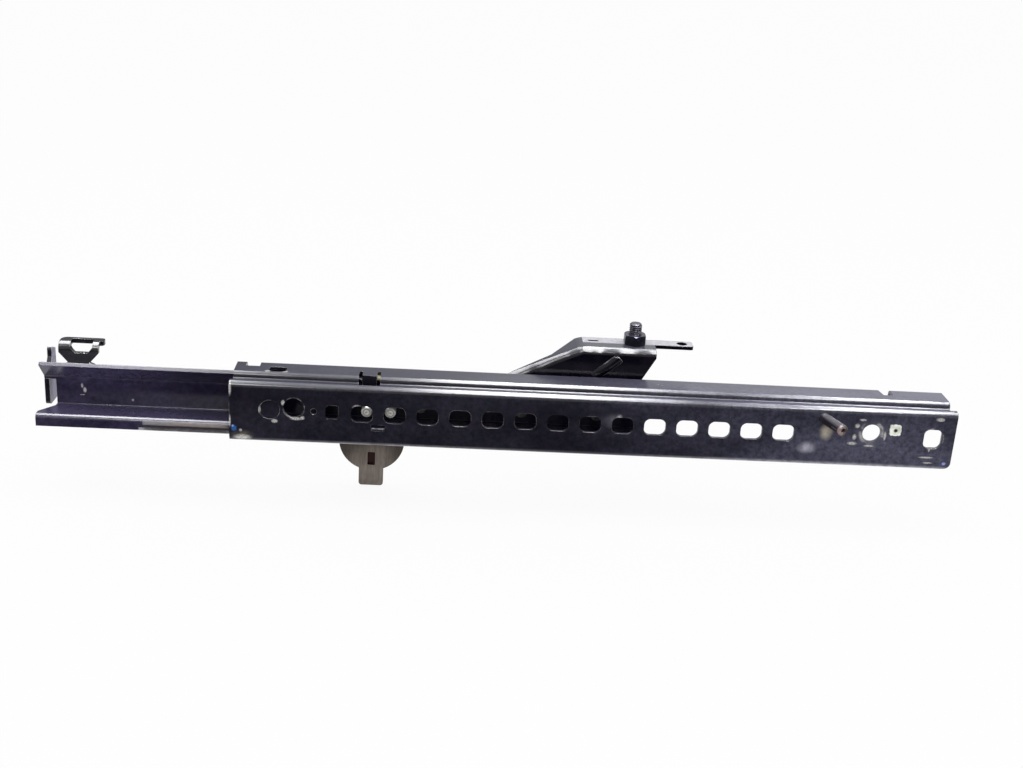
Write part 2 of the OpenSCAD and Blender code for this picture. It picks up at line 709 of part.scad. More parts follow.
module stop_pin() place() color(coat)
  translate([stop_pin_x, 0, stop_pin_height]) {
    rod_y(0, -stop_chamfer, 0, stop_seat_radius, outer_sheet + stop_chamfer);
    rod_y(0, outer_sheet, 0, stop_head_radius, stop_head);
    difference() {
      rotate([90, 0, stop_pin_lean]) translate([0, 0, -stop_pin_radius]) {
        cylinder(r = stop_pin_radius, h = stop_pin_length + stop_pin_radius - stop_chamfer);
        translate([0, 0, stop_pin_length + stop_pin_radius - stop_chamfer])
          cylinder(r1 = stop_pin_radius, r2 = stop_pin_radius - stop_chamfer, h = stop_chamfer);
      }
      translate([-far / 2, 0, -far / 2]) cube(far);
      rotate([90, 0, stop_pin_lean]) translate([0, 0, stop_pin_length - stop_recess])
        cylinder(r = stop_recess_radius, h = 2 * stop_recess);
    }
  }

module wall_clip() place() color(nylon)
  translate([clip_x, 0, clip_height]) difference() {
    union() {
      rod_y(0, 0, 0, clip_shank_radius, outer_sheet);
      rod_y(0, outer_sheet, 0, clip_barb_radius, clip_barb);
      rod_y(0, -clip_head, 0, clip_disc_radius, clip_head);
      for (a = [45 : 90 : 315]) rotate([0, a, 0])
        rod_y(clip_radius - clip_lobe_radius, -clip_head, 0, clip_lobe_radius, clip_head);
    }
    rod_y(0, -2 * clip_head, 0, clip_bore_radius, outer_sheet + clip_barb + 3 * clip_head);
  }

module inner_cuts() {
  rod_x(track_left, lower_ball[0], lower_ball[1], track_radius, inner_left + inner_length - track_left + 1);
  for (s = [-1, 1]) rod_y(lock_x + s * pin_spacing / 2, web_front - 4, pin_height, bush_radius, far);
  for (x = seat_rivets_x) rod_y(x, web_front - 1, rivet_height, rivet_radius, inner_sheet + 2);
  for (s = [-1, 1])
    rod_y(plate_mid + s * foot_mid, web_front - 1, rivet_height, rivet_radius, inner_sheet + 2);
  // Left end of the web and the back corner of the shelf are cut away for the end plate
  translate([inner_left, 0, shelf_height - 2 * inner_sheet])
    linear_extrude(web_cut_top - shelf_height + 2 * inner_sheet)
      polygon([
        [-1, flange_front + shelf_cut],
        [web_cut, web_front - inner_bend - inner_sheet],
        [web_cut, far],
        [-1, far],
      ]);
}

module inner_rail() place() color(coat) difference() {
  along_x(inner_left, inner_length) stepped_strip(inner_path, inner_radii, inner_sheet, bend_steps);
  inner_cuts();
}

module hook_bracket() place() color(coat) difference() {
  union() {
    // Base plate on the back of the web, rising through a neck
    along_y(web_back, hook_sheet) polygon([
      [inner_left + web_cut, shelf_height + plate_lift],
      [hook_mid + base_length, shelf_height + plate_lift],
      [hook_mid + base_length, web_cut_top],
      [hook_mid + neck_width / 2, neck_height],
      [hook_mid + hook_width / 2, taper_height],
      [hook_mid - hook_width / 2, taper_height],
      [hook_mid - neck_width / 2, neck_height],
      [inner_left + hook_sheet, lip_foot + plate_lift],
      [inner_left + hook_sheet, web_cut_top],
      [inner_left + web_cut, web_cut_top],
    ]);
    translate([0, web_back, hook_height]) along_x(hook_left, hook_width)
      angle_section(hook_sheet, hook_height - taper_height, hook_depth, hook_bend);
    // Round-ended reach of the top plate
    translate([hook_left + hook_width, web_back + (hook_bend + hook_depth) / 2, hook_height - hook_sheet])
      linear_extrude(hook_sheet) rounded_rect(2 * hook_reach, hook_depth - hook_bend, reach_corner);
  }
  // Opening through the bend, narrower at its foot in the wall
  translate([hook_mid + hook_window_shift, 0, 0]) along_y(web_back - 1, hook_window_depth + 1) polygon([
    [-window_foot / 2, taper_height + edge_rest],
    [window_foot / 2, taper_height + edge_rest],
    [hook_window / 2, hook_height - hook_sheet],
    [hook_window / 2, hook_height + 1],
    [-hook_window / 2, hook_height + 1],
    [-hook_window / 2, hook_height - hook_sheet],
  ]);
  // Rounded back corner of the top plate
  translate([hook_left, web_back + hook_depth, hook_height - far / 2]) difference() {
    translate([-1, -hook_corner, 0]) cube([hook_corner + 1, hook_corner + 1, far]);
    translate([hook_corner, -hook_corner, -1]) cylinder(r = hook_corner, h = far + 2);
  }
}

module end_plate() place() color(coat) difference() {
  low = shelf_height - hook_sheet;
  step = web_front + end_plate_step;
  along_x(inner_left, hook_sheet) polygon([
    [web_front, low],
    [web_front, web_cut_top],
    [web_back + web_clearance, web_cut_top],
    [web_back + web_clearance, lip_foot + plate_lift],
    [step, lip_foot + end_plate_step],
    [step, end_plate_height],
    [web_front + end_plate_depth, end_plate_height - end_plate_fall],
    [web_front + end_plate_depth, low],
  ]);
  for (q = [[web_front, low, 1], [step, end_plate_height, -1]])
    along_x(inner_left - 1, hook_sheet + 2) translate([q[0], q[1]]) scale([1, q[2]]) difference() {
      translate([-1, -1]) square(end_plate_corner + 1);
      translate([end_plate_corner, end_plate_corner]) circle(end_plate_corner);
    }
}

// Cutter that rounds the front edge of a run, the edge lying along X through the origin
module edge_round(r, length) rotate([90, 0, 90]) linear_extrude(length) difference() {
  translate([-1, -r]) square(r + 1);
  translate([r - edge_rest, -r + edge_rest]) circle(r);
}

module seat_bracket() place() color(coat) {
  ramp_foot = seat_height - ramp_run * tan(ramp_slope);
  top_path = [[ramp_x - ramp_run, ramp_foot - seat_sheet / 2], [ramp_x, seat_height - seat_sheet / 2],
    [ramp_x + seat_flat, seat_height - seat_sheet / 2]];
  bead = [
    [ramp_x + bead_foot, seat_height - bead_foot_drop],
    [ramp_x + bead_head, seat_height - bead_head_drop],
  ];
  bead_run = bead[1] - bead[0];
  difference() {
    union() {
      // Wall on the back of the web
      along_y(web_back, seat_sheet) polygon([
        [ramp_x - ramp_run, shelf_height + plate_lift],
        [ramp_x + seat_flat - foot_cut, shelf_height + plate_lift],
        [ramp_x + seat_flat - foot_cut, shelf_height + foot_cut],
        [ramp_x + seat_flat, seat_height - seat_bend],
        [ramp_x + seat_flat, seat_height - seat_sheet / 2],
        [ramp_x, seat_height - seat_sheet / 2],
        [ramp_x - ramp_run, ramp_foot - seat_sheet / 2],
      ]);
      // Ramp and flat top, narrowing towards the foot of the ramp
      intersection() {
        along_y(web_back, seat_depth) stepped_strip(top_path, [0, ramp_bend, 0], seat_sheet, bend_steps);
        linear_extrude(2 * far) polygon([
          [ramp_x - ramp_run - far, web_back - 1],
          [ramp_x + seat_flat + 1, web_back - 1],
          [ramp_x + seat_flat + 1, web_back + seat_depth + 1],
          [ramp_x - seat_sheet, web_back + seat_depth + 1],
          [ramp_x - waist_run, web_back + waist_depth],
          [ramp_x - ramp_run + 2 * seat_sheet, web_back + ramp_foot_depth],
          [ramp_x - ramp_run - far, web_back + ramp_foot_depth],
        ]);
      }
      // Stiffening bead pressed across the wall
      intersection() {
        translate([bead[0][0], web_back + bead_radius - bead_rise, bead[0][1]])
          rotate([0, atan2(bead_run[0], bead_run[1]), 0]) cylinder(r = bead_radius, h = norm(bead_run));
        translate([ramp_x - far, web_back - bead_radius, 0])
          cube([2 * far, bead_radius + seat_sheet / 2, 2 * far]);
      }
    }
    translate([ramp_x - seat_sheet, web_back, seat_height]) edge_round(seat_bend, far);
    translate([ramp_x, web_back, seat_height]) rotate([0, -ramp_slope, 0]) translate([-2 * far, 0, 0])
      edge_round(seat_bend, 2 * far);
    translate([stud_x, stud_y, 0]) cylinder(r = shank_radius, h = 2 * far);
    translate([ramp_x + vent_x, web_back + vent_y, seat_height - 2 * seat_sheet]) linear_extrude(far)
      rounded_rect(vent_length, vent_width, vent_width / 2 - edge_rest);
    for (x = seat_rivets_x) rod_y(x, web_back - 1, rivet_height, rivet_radius, seat_sheet + 2);
  }
  // Tongue with its hole
  translate([0, 0, seat_height - seat_sheet]) linear_extrude(seat_sheet) difference() {
    union() {
      translate([ramp_x + seat_flat - 1, tongue_front]) square([tongue_length - tongue_corner, tongue_width]);
      translate([ramp_x + seat_flat + tongue_length / 2, tongue_front + tongue_width / 2])
        rounded_rect(tongue_length, tongue_width, tongue_corner);
    }
    translate([tongue_end - tongue_hole_inset, tongue_front + tongue_width / 2]) circle(tongue_hole_radius);
  }
}

module seat_stud() place() color(zinc) translate([stud_x, stud_y, seat_height]) rotate_extrude() polygon([
  [0, -seat_sheet - stud_head],
  [stud_head_radius, -seat_sheet - stud_head],
  [stud_head_radius, -seat_sheet],
  [shank_radius, -seat_sheet],
  [shank_radius, nut_height + stud_stand],
  [stud_radius, nut_height + stud_stand],
  [stud_radius, stud_rise - stud_chamfer],
  [stud_radius - stud_chamfer, stud_rise],
  [0, stud_rise],
]);

module seat_nut() place() color(zinc) translate([stud_x, stud_y, seat_height]) difference() {
  corner = nut_flats / sqrt(3);
  ring = nut_flats / 2 + nut_ring;
  intersection() {
    rotate(30) cylinder(r = corner, h = nut_height, $fn = 6);
    rotate_extrude() polygon([[0, 0], [ring, 0], [corner, nut_chamfer], [corner, nut_height - nut_chamfer],
      [ring, nut_height], [0, nut_height]]);
  }
  translate([0, 0, -1]) cylinder(r = shank_radius, h = nut_height + 2);
}

// Rivet through the web and one sheet behind it
module rivet(x, sheet) {
  rod_y(x, web_front, rivet_height, rivet_radius, inner_sheet + sheet);
  rod_y(x, web_front - rivet_head, rivet_height, rivet_head_radius, rivet_head);
  rod_y(x, web_back + sheet, rivet_height, rivet_head_radius, rivet_head);
}

module seat_rivets() place() color(zinc) for (x = seat_rivets_x) rivet(x, seat_sheet);

module guide_bushes() place() color(steel) for (s = [-1, 1])
  translate([lock_x + s * pin_spacing / 2, 0, pin_height]) difference() {
    union() {
      rod_y(0, web_front, 0, bush_radius, inner_sheet);
      rod_y(0, web_back, 0, bush_radius + bush_rim, bush_flange);
    }
    rod_y(0, web_front - 1, 0, pin_radius + bush_clearance, inner_sheet + bush_flange + 2);
  }

module lock_bracket() place() color(coat) for (s = [-1, 1])
  translate([plate_mid, 0, 0]) mirror([s > 0 ? 0 : 1, 0, 0]) difference() {
    union() {
      translate([cheek_gap, web_back, foot_low]) cube([cheek_sheet + foot_length, cheek_sheet, foot_height]);
      along_x(cheek_gap, cheek_sheet) {
        polygon([[web_back, foot_low], [web_back, foot_low + foot_height],
          [web_back + cheek_sheet, foot_low + foot_height], [pivot_y + ear_radius, pivot_height],
          [pivot_y - ear_radius, pivot_height]]);
        translate([pivot_y, pivot_height]) circle(ear_radius);
      }
    }
    rod_x(cheek_gap - 1, pivot_y, pivot_height, pivot_radius, cheek_sheet + 2);
    rod_y(foot_mid, web_back - 1, rivet_height, rivet_radius, cheek_sheet + 2);
  }

module lock_rivets() place() color(zinc) for (s = [-1, 1])
  rivet(plate_mid + s * foot_mid, cheek_sheet);

module lock_pivot() place() color(zinc) {
  span = 2 * (cheek_gap + cheek_sheet);
  rod_x(plate_mid - span / 2, pivot_y, pivot_height, pivot_radius, span);
  for (x = [plate_mid - span / 2 - pivot_head, plate_mid + span / 2])
    rod_x(x, pivot_y, pivot_height, pivot_radius + pivot_rim, pivot_head);
}

// Return spring: turns round the pivot, one leg on the web side and one along the plate
module lock_spring() place() color(steel) {
  coil = pivot_radius + coil_gap + wire_radius;
  pitch = 2 * wire_radius + turn_gap;
  first = plate_mid - spring_turns * pitch / 2;
  for (k = [1 : spring_turns]) translate([first + k * pitch, pivot_y, pivot_height]) rotate([0, 90, 0])
    rotate_extrude() translate([coil, 0]) circle(wire_radius);
  translate([first, pivot_y - coil, pivot_height - leg_over]) cylinder(r = wire_radius, h = leg_length);
  translate([first + (spring_turns + 1) * pitch, pivot_y + coil, pivot_height + leg_over - leg_length])
    cylinder(r = wire_radius, h = leg_length);
}

module lock_plate() place() color(steel) difference() {
  union() {
    along_y(plate_front, plate_sheet) translate([plate_mid, 0]) {
      translate([-plate_width / 2, -plate_drop])
        square([plate_width, plate_drop + pivot_height + ear_radius]);
      translate([-plate_width / 2 + plate_shoulder, 0])
        square([plate_width - 2 * plate_shoulder, pin_height + plate_over]);
      translate([0, -plate_drop]) circle(plate_width / 2);
      translate([-plate_neck / 2, -neck_drop + neck_corner]) square([plate_neck, neck_drop - plate_drop]);
      translate([-plate_neck / 2 + neck_corner, -neck_drop])
        square([plate_neck - 2 * neck_corner, 2 * neck_corner]);
      for (s = [-1, 1]) translate([s * (plate_neck / 2 - neck_corner), -neck_drop + neck_corner])
        circle(neck_corner);
    }
    // Ears bent forward round the pivot
    for (x = [-plate_width / 2, plate_width / 2 - plate_sheet]) along_x(plate_mid + x, plate_sheet) {
      translate([pivot_y, pivot_height]) circle(ear_radius);
      translate([pivot_y, pivot_height - ear_radius]) square([plate_front - pivot_y + eps, 2 * ear_radius]);
    }
  }
  rod_x(plate_mid - far, pivot_y, pivot_height, pivot_radius + bush_clearance, 2 * far);
  along_y(plate_front - 1, pocket_depth + 1) translate([plate_mid, -pocket_drop])
    rounded_rect(pocket_width, pocket_rise, pocket_corner);
}

module lock_pins() place() color(steel) for (s = [-1, 1])
  translate([lock_x + s * pin_spacing / 2, pin_tip, pin_height]) rotate([-90, 0, 0]) difference() {
    union() {
      cylinder(r1 = pin_radius - pin_taper, r2 = pin_radius, h = pin_chamfer);
      translate([0, 0, pin_chamfer]) cylinder(r = pin_radius, h = yoke_y - pin_tip + pin_tail - pin_chamfer);
    }
    translate([0, 0, yoke_y - pin_tip]) rotate([0, 90, 0])
      cylinder(r = yoke_radius, h = 4 * pin_radius, center = true);
  }

module lock_yoke() place() color(steel)
  rod_x(lock_x - pin_spacing / 2 - pin_radius - yoke_over, yoke_y, pin_height, yoke_radius,
    pin_spacing + 2 * (pin_radius + yoke_over));

module upper_cage() place() color(nylon) difference() {
  translate([upper_cage_x, lip_tip[0] - upper_cage_over, top_in - upper_cage_gap - cage_sheet])
    cube([upper_cage_length, upper_ball[0] - lip_tip[0] + upper_cage_over + upper_cage_back, cage_sheet]);
  for (x = ball_places(upper_cage_x, upper_cage_length))
    translate([x, upper_ball[0], upper_ball[1]]) cylinder(r = upper_ball_radius + cage_clearance, h = far);
}

module upper_balls() place() color(zinc) for (x = ball_places(upper_cage_x, upper_cage_length))
  translate([x, upper_ball[0], upper_ball[1]]) sphere(upper_ball_radius);

module lower_cage() place() color(nylon) difference() {
  translate([lower_cage_x, wall_in + lower_cage_gap, outer_sheet + lower_cage_low])
    cube([lower_cage_length, cage_sheet, shelf_height - outer_sheet - lower_cage_low - lower_cage_high]);
  for (x = ball_places(lower_cage_x, lower_cage_length))
    rod_y(x, wall_in, lower_ball[1], lower_ball_radius + cage_clearance, shelf_height);
}

module lower_balls() place() color(zinc) for (x = ball_places(lower_cage_x, lower_cage_length))
  translate([x, lower_ball[0], lower_ball[1]]) sphere(lower_ball_radius);

outer_rail();
stop_pin();
wall_clip();
inner_rail();
hook_bracket();
end_plate();
seat_bracket();
seat_stud();
seat_nut();
seat_rivets();
guide_bushes();
lock_bracket();
lock_rivets();
lock_pivot();
lock_spring();
lock_plate();
lock_pins();
lock_yoke();
upper_cage();
upper_balls();
lower_cage();
lower_balls();
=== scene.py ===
import math

import bmesh
import bpy
from mathutils import Matrix, Vector


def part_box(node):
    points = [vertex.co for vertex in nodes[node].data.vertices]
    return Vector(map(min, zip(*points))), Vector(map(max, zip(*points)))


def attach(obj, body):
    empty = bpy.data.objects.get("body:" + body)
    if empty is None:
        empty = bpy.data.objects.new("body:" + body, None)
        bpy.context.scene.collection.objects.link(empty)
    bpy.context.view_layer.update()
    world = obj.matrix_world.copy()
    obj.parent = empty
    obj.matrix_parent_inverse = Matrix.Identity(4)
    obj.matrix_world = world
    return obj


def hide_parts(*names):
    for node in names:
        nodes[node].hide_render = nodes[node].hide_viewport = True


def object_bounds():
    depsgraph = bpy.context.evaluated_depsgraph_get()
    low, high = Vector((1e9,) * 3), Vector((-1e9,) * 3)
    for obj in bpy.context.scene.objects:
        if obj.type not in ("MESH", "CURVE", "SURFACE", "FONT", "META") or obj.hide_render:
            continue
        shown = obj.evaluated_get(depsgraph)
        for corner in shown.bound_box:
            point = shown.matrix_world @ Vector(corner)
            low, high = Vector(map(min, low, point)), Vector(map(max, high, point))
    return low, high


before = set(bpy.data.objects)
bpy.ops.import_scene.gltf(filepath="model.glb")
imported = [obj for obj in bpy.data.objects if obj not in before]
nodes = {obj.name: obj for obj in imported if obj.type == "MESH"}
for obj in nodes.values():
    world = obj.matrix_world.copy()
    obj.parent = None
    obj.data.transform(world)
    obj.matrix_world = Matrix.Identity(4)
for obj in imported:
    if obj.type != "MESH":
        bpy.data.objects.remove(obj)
cad_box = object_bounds()

# Outer rail: the fixed channel, roll-formed from 2 mm steel sheet and pierced with the lock slots.
# It is dipped in black electrocoat, a thin smooth paint that shines, greys with dust, and is chipped to
# bright steel round the bolt holes and along cut edges. Its lightening towards the right, the pale line along
# its lower bend and a bright patch on its left end are a painted reflection and painted highlights.
MM = 0.001
SHARE, UNDER, OVER, MIXED = 0, 6, 7, 2  # the sockets of a Mix node set to colours
SMOOTH = {"interpolation_type": "SMOOTHSTEP"}


def linear(code):
    """An sRGB hex colour as linear RGBA."""
    parts = [int(code[i:i + 2], 16) / 255 for i in (1, 3, 5)]
    return [p / 12.92 if p <= 0.04045 else ((p + 0.055) / 1.055) ** 2.4 for p in parts] + [1.0]


def add(mat, kind, inputs=None, out=0, **settings):
    """Adds one node with its settings and links and gives an output; an input is a value or an output."""
    node = mat.node_tree.nodes.new("ShaderNode" + kind)
    for name, value in settings.items():
        setattr(node, name, value)
    for socket, value in (inputs or {}).items():
        if isinstance(value, bpy.types.NodeSocket):
            mat.node_tree.links.new(value, node.inputs[socket])
        else:
            node.inputs[socket].default_value = value
    return node.outputs[out] if len(node.outputs) else None


def new_material(name):
    """A material with no nodes yet."""
    mat = bpy.data.materials.new(name)
    mat.use_nodes = True
    mat.node_tree.nodes.clear()
    return mat


def dress(mat, *names):
    """Gives CAD nodes a material."""
    for name in names:
        nodes[name].data.materials.clear()
        nodes[name].data.materials.append(mat)


def steps_from(mat, place, middle, reach):
    """How far a place is from a middle along each axis, counted in half sizes; both are in mm."""
    off = add(mat, "VectorMath", {0: place, 1: [c * MM for c in middle]}, operation="SUBTRACT")
    return add(mat, "VectorMath", {0: off, 1: [1 / (r * MM) for r in reach]}, operation="MULTIPLY")


def patch(mat, place, middle, reach, soft):
    """1 inside an ellipsoid with its middle and half sizes in mm, fading to 0 at its rim."""
    off = steps_from(mat, place, middle, reach)
    far = add(mat, "VectorMath", {0: off}, "Value", operation="LENGTH")
    return add(mat, "MapRange", {"Value": far, "From Min": 1.0, "From Max": 1.0 - soft}, **SMOOTH)


def strip(mat, place, middle, reach, soft):
    """1 inside a box with its middle and half sizes in mm, with straight edges that fade over a share of it."""
    off = steps_from(mat, place, middle, reach)
    off = add(mat, "VectorMath", {0: off}, operation="ABSOLUTE")
    far = add(mat, "SeparateXYZ", {0: off}, 0)
    for axis in (1, 2):
        along = add(mat, "SeparateXYZ", {0: off}, axis)
        far = add(mat, "Math", {0: far, 1: along}, operation="MAXIMUM")
    return add(mat, "MapRange", {"Value": far, "From Min": 1.0, "From Max": 1.0 - soft})


def rim(mat, place, middle, radius, width):
    """1 on a ring round a hole in the front wall, fading to 0 a width away; sizes in mm."""
    off = add(mat, "VectorMath", {0: place, 1: [c * MM for c in middle]}, operation="SUBTRACT")
    off = add(mat, "VectorMath", {0: off, 1: (1, 0, 1)}, operation="MULTIPLY")
    far = add(mat, "VectorMath", {0: off}, "Value", operation="LENGTH")
    gap = add(mat, "Math", {0: far, 1: radius * MM}, operation="SUBTRACT")
    gap = add(mat, "Math", {0: gap}, operation="ABSOLUTE")
    return add(mat, "MapRange", {"Value": gap, "From Min": width * MM, "From Max": 0.0}, **SMOOTH)


def electrocoat(name, black, dusty, film, settled, edges, chips_and_glints=(), rims=(), rubs_and_painted_light=(), worn_and_painted_light=(), dabs=(),
                slope=(), wave=0, shine=0.36):
    """Black dip paint: film is the dusting of the walls, settled the dusting of faces that look up, edges the wear
    of cut edges. chips_and_glints, rubs_and_painted_light, worn_and_painted_light strips and dabs are (middle,
    half sizes) in mm, the last three with a colour; one chip on the outer rail is a painted highlight, and some
    rubs and worn strips are painted highlights and painted shade. rims are (middle, radius, width, share) of
    chipped rings. slope is the run along X over which the film lightens, and its share at the start; on the outer
    rail this is a painted reflection. wave is the unevenness of the pressed sheet in mm, and shine its gloss."""
    mat = new_material(name)
    place = add(mat, "TexCoord", out="Object")
    normal = add(mat, "NewGeometry", out="True Normal")
    drawn = add(mat, "Mapping", {"Vector": place, "Scale": (0.4, 1, 1)})
    cloud = add(mat, "TexNoise", {"Vector": drawn, "Scale": 1 / (26 * MM), "Detail": 5.0})
    speck = add(mat, "TexNoise", {"Vector": place, "Scale": 1 / (3.4 * MM), "Detail": 6.0, "Roughness": 0.72})
    ragged = add(mat, "TexNoise", {"Vector": place, "Scale": 1 / (0.8 * MM), "Detail": 4.0, "Roughness": 0.7})
    # Dust: a cloudy, specked film on the walls, and more on faces that look up. The slope makes it lighter along
    # X;
    # on the outer rail that lightening is a painted reflection, not dust
    dust_and_sheen = add(mat, "MapRange", {"Value": cloud, "From Min": 0.3, "From Max": 0.72,
                                 "To Min": film * 0.35, "To Max": film}, **SMOOTH)
    fine = add(mat, "MapRange", {"Value": speck, "From Min": 0.3, "From Max": 0.7, "To Min": 0.4, "To Max": 1.6})
    dust_and_sheen = add(mat, "Math", {0: dust_and_sheen, 1: fine}, operation="MULTIPLY")
    up = add(mat, "SeparateXYZ", {0: normal}, 2)
    up = add(mat, "MapRange", {"Value": up, "From Min": 0.35, "From Max": 0.98, "To Max": settled}, **SMOOTH)
    if slope:
        start, end, least = slope
        run = add(mat, "SeparateXYZ", {0: place})
        run = add(mat, "MapRange", {"Value": run, "From Min": start * MM, "From Max": end * MM, "To Min": least},
                  **SMOOTH)
        dust_and_sheen = add(mat, "Math", {0: dust_and_sheen, 1: run}, operation="MULTIPLY")
        run = add(mat, "MapRange", {"Value": run, "To Min": 0.6})
        up = add(mat, "Math", {0: up, 1: run}, operation="MULTIPLY")
    dust_and_sheen = add(mat, "Math", {0: dust_and_sheen, 1: up}, operation="ADD")
    dust_and_sheen = add(mat, "Math", {0: dust_and_sheen, 1: 0.75}, operation="MINIMUM")
    # The paint itself turns from blue-black to a plum black where it is thin
    thin = add(mat, "TexNoise", {"Vector": place, "Scale": 1 / (11 * MM), "Detail": 4.0})
    thin = add(mat, "MapRange", {"Value": thin, "From Min": 0.46, "From Max": 0.72})
    plum = linear("#19121D")
    colour = add(mat, "Mix", {SHARE: thin, UNDER: linear(black), OVER: plum}, MIXED, data_type="RGBA")
    colour = add(mat, "Mix", {SHARE: dust_and_sheen, UNDER: colour, OVER: linear(dusty)}, MIXED, data_type="RGBA")
    # Rubbed places, streaky, and worn strips, nearly even and dull: the paint is thinned to grey or beige.
    # Some of them are painted highlights and painted shade, as noted where they are given
    drawn = add(mat, "Mapping", {"Vector": place, "Scale": (1.6, 1, 0.7)})
    streak = add(mat, "TexNoise", {"Vector": drawn, "Scale": 1 / (1 * MM), "Detail": 5.0, "Roughness": 0.7})
    streak = add(mat, "MapRange", {"Value": streak, "From Min": 0.3, "From Max": 0.66, "To Min": 0.6})
    scuff = add(mat, "TexNoise", {"Vector": place, "Scale": 1 / (5 * MM), "Detail": 2.0})
    scuff = add(mat, "MapRange", {"Value": scuff, "From Min": 0.36, "From Max": 0.6, "To Min": 0.55}, **SMOOTH)
    streak = add(mat, "Math", {0: streak, 1: scuff}, operation="MULTIPLY")
    for middle, reach, tone in rubs_and_painted_light:
        share = add(mat, "Math", {0: patch(mat, place, middle, reach, 0.9), 1: streak}, operation="MULTIPLY")
        colour = add(mat, "Mix", {SHARE: share, UNDER: colour, OVER: linear(tone)}, MIXED, data_type="RGBA")
    even = add(mat, "MapRange", {"Value": speck, "From Min": 0.3, "From Max": 0.6, "To Min": 0.5, "To Max": 0.95})
    dull = 0.0
    for middle, reach, tone in worn_and_painted_light:
        share = add(mat, "Math", {0: strip(mat, place, middle, reach, 0.12), 1: even}, operation="MULTIPLY")
        dull = add(mat, "Math", {0: dull, 1: share}, operation="MAXIMUM")
        colour = add(mat, "Mix", {SHARE: share, UNDER: colour, OVER: linear(tone)}, MIXED, data_type="RGBA")
    # Chipped places and worn edges: bright bare steel in ragged flecks; the patch high on the outer rail's left
    # end is a painted highlight in the same steel colour
    edge = add(mat, "Bevel", {"Radius": 0.4 * MM}, samples=4)
    turn = add(mat, "VectorMath", {0: edge, 1: normal}, "Value", operation="DOT_PRODUCT")
    turn = add(mat, "MapRange", {"Value": turn, "From Min": 0.985, "From Max": 0.86}, **SMOOTH)
    rub = add(mat, "TexNoise", {"Vector": place, "Scale": 1 / (8 * MM), "Detail": 4.0})
    rub = add(mat, "MapRange", {"Value": rub, "From Min": 0.62 - 0.3 * edges, "From Max": 0.82 - 0.3 * edges,
                                "To Max": edges}, **SMOOTH)
    bare = add(mat, "Math", {0: turn, 1: rub}, operation="MULTIPLY")
    fleck = add(mat, "MapRange", {"Value": ragged, "From Min": 0.3, "From Max": 0.62}, **SMOOTH)
    for middle, reach in chips_and_glints:
        bright_fleck = add(mat, "Math", {0: patch(mat, place, middle, reach, 0.7), 1: fleck}, operation="MULTIPLY")
        bare = add(mat, "Math", {0: bare, 1: bright_fleck}, operation="MAXIMUM")
    for middle, radius, width, share in rims:
        bright_fleck = add(mat, "Math", {0: rim(mat, place, middle, radius, width), 1: fleck}, operation="MULTIPLY")
        part = add(mat, "Math", {0: rub, 1: share}, operation="MULTIPLY")
        bright_fleck = add(mat, "Math", {0: bright_fleck, 1: part}, operation="MULTIPLY")
        bare = add(mat, "Math", {0: bare, 1: bright_fleck}, operation="MAXIMUM")
    steel = linear("#E4E2DE")
    colour = add(mat, "Mix", {SHARE: bare, UNDER: colour, OVER: steel}, MIXED, data_type="RGBA")
    # Dabs of marking paint with a ragged rim
    for middle, reach, tone in dabs:
        spot = add(mat, "Math", {0: patch(mat, place, middle, reach, 0.9), 1: ragged}, operation="ADD")
        spot = add(mat, "MapRange", {"Value": spot, "From Min": 0.78, "From Max": 0.95})
        colour = add(mat, "Mix", {SHARE: spot, UNDER: colour, OVER: linear(tone)}, MIXED, data_type="RGBA")
    # Gloss: dust takes a little of it, and wear most
    gloss = add(mat, "MapRange", {"Value": cloud, "From Min": 0.3, "From Max": 0.7, "To Min": 0.12, "To Max": 0.2})
    for layer, most in ((dust_and_sheen, 0.12), (dull, 0.7)):
        rise = add(mat, "Math", {0: layer, 1: most}, operation="MULTIPLY")
        gloss = add(mat, "Math", {0: rise, 1: gloss}, operation="ADD")
    # Relief: pressed sheet is uneven on its slopes and bends, and the paint has a peel, drawn coarse to show
    sheet = edge
    if wave:
        swell = add(mat, "TexNoise", {"Vector": place, "Scale": 1 / (15 * MM), "Detail": 0.0})
        tilt = add(mat, "SeparateXYZ", {0: normal}, 2)
        rest = add(mat, "Math", {0: 1.0, 1: tilt}, operation="SUBTRACT")
        tilt = add(mat, "Math", {0: tilt, 1: rest}, operation="MULTIPLY")
        tilt = add(mat, "MapRange", {"Value": tilt, "From Min": 0.06, "From Max": 0.2, "To Min": 0.025}, **SMOOTH)
        sheet = add(mat, "Bump", {"Height": swell, "Strength": tilt, "Distance": wave * MM, "Normal": edge})
    peel = add(mat, "TexNoise", {"Vector": place, "Scale": 1 / (1.4 * MM), "Detail": 1.0})
    skin = add(mat, "Bump", {"Height": peel, "Strength": 0.1, "Distance": 0.04 * MM, "Normal": sheet})
    metal = add(mat, "Math", {0: bare, 1: 0.2}, operation="MULTIPLY")
    shader = add(mat, "BsdfPrincipled", {
        "Base Color": colour, "Roughness": gloss, "Metallic": metal, "IOR": 1.5, "Specular IOR Level": shine,
        "Normal": skin})
    add(mat, "OutputMaterial", {"Surface": shader})
    return mat


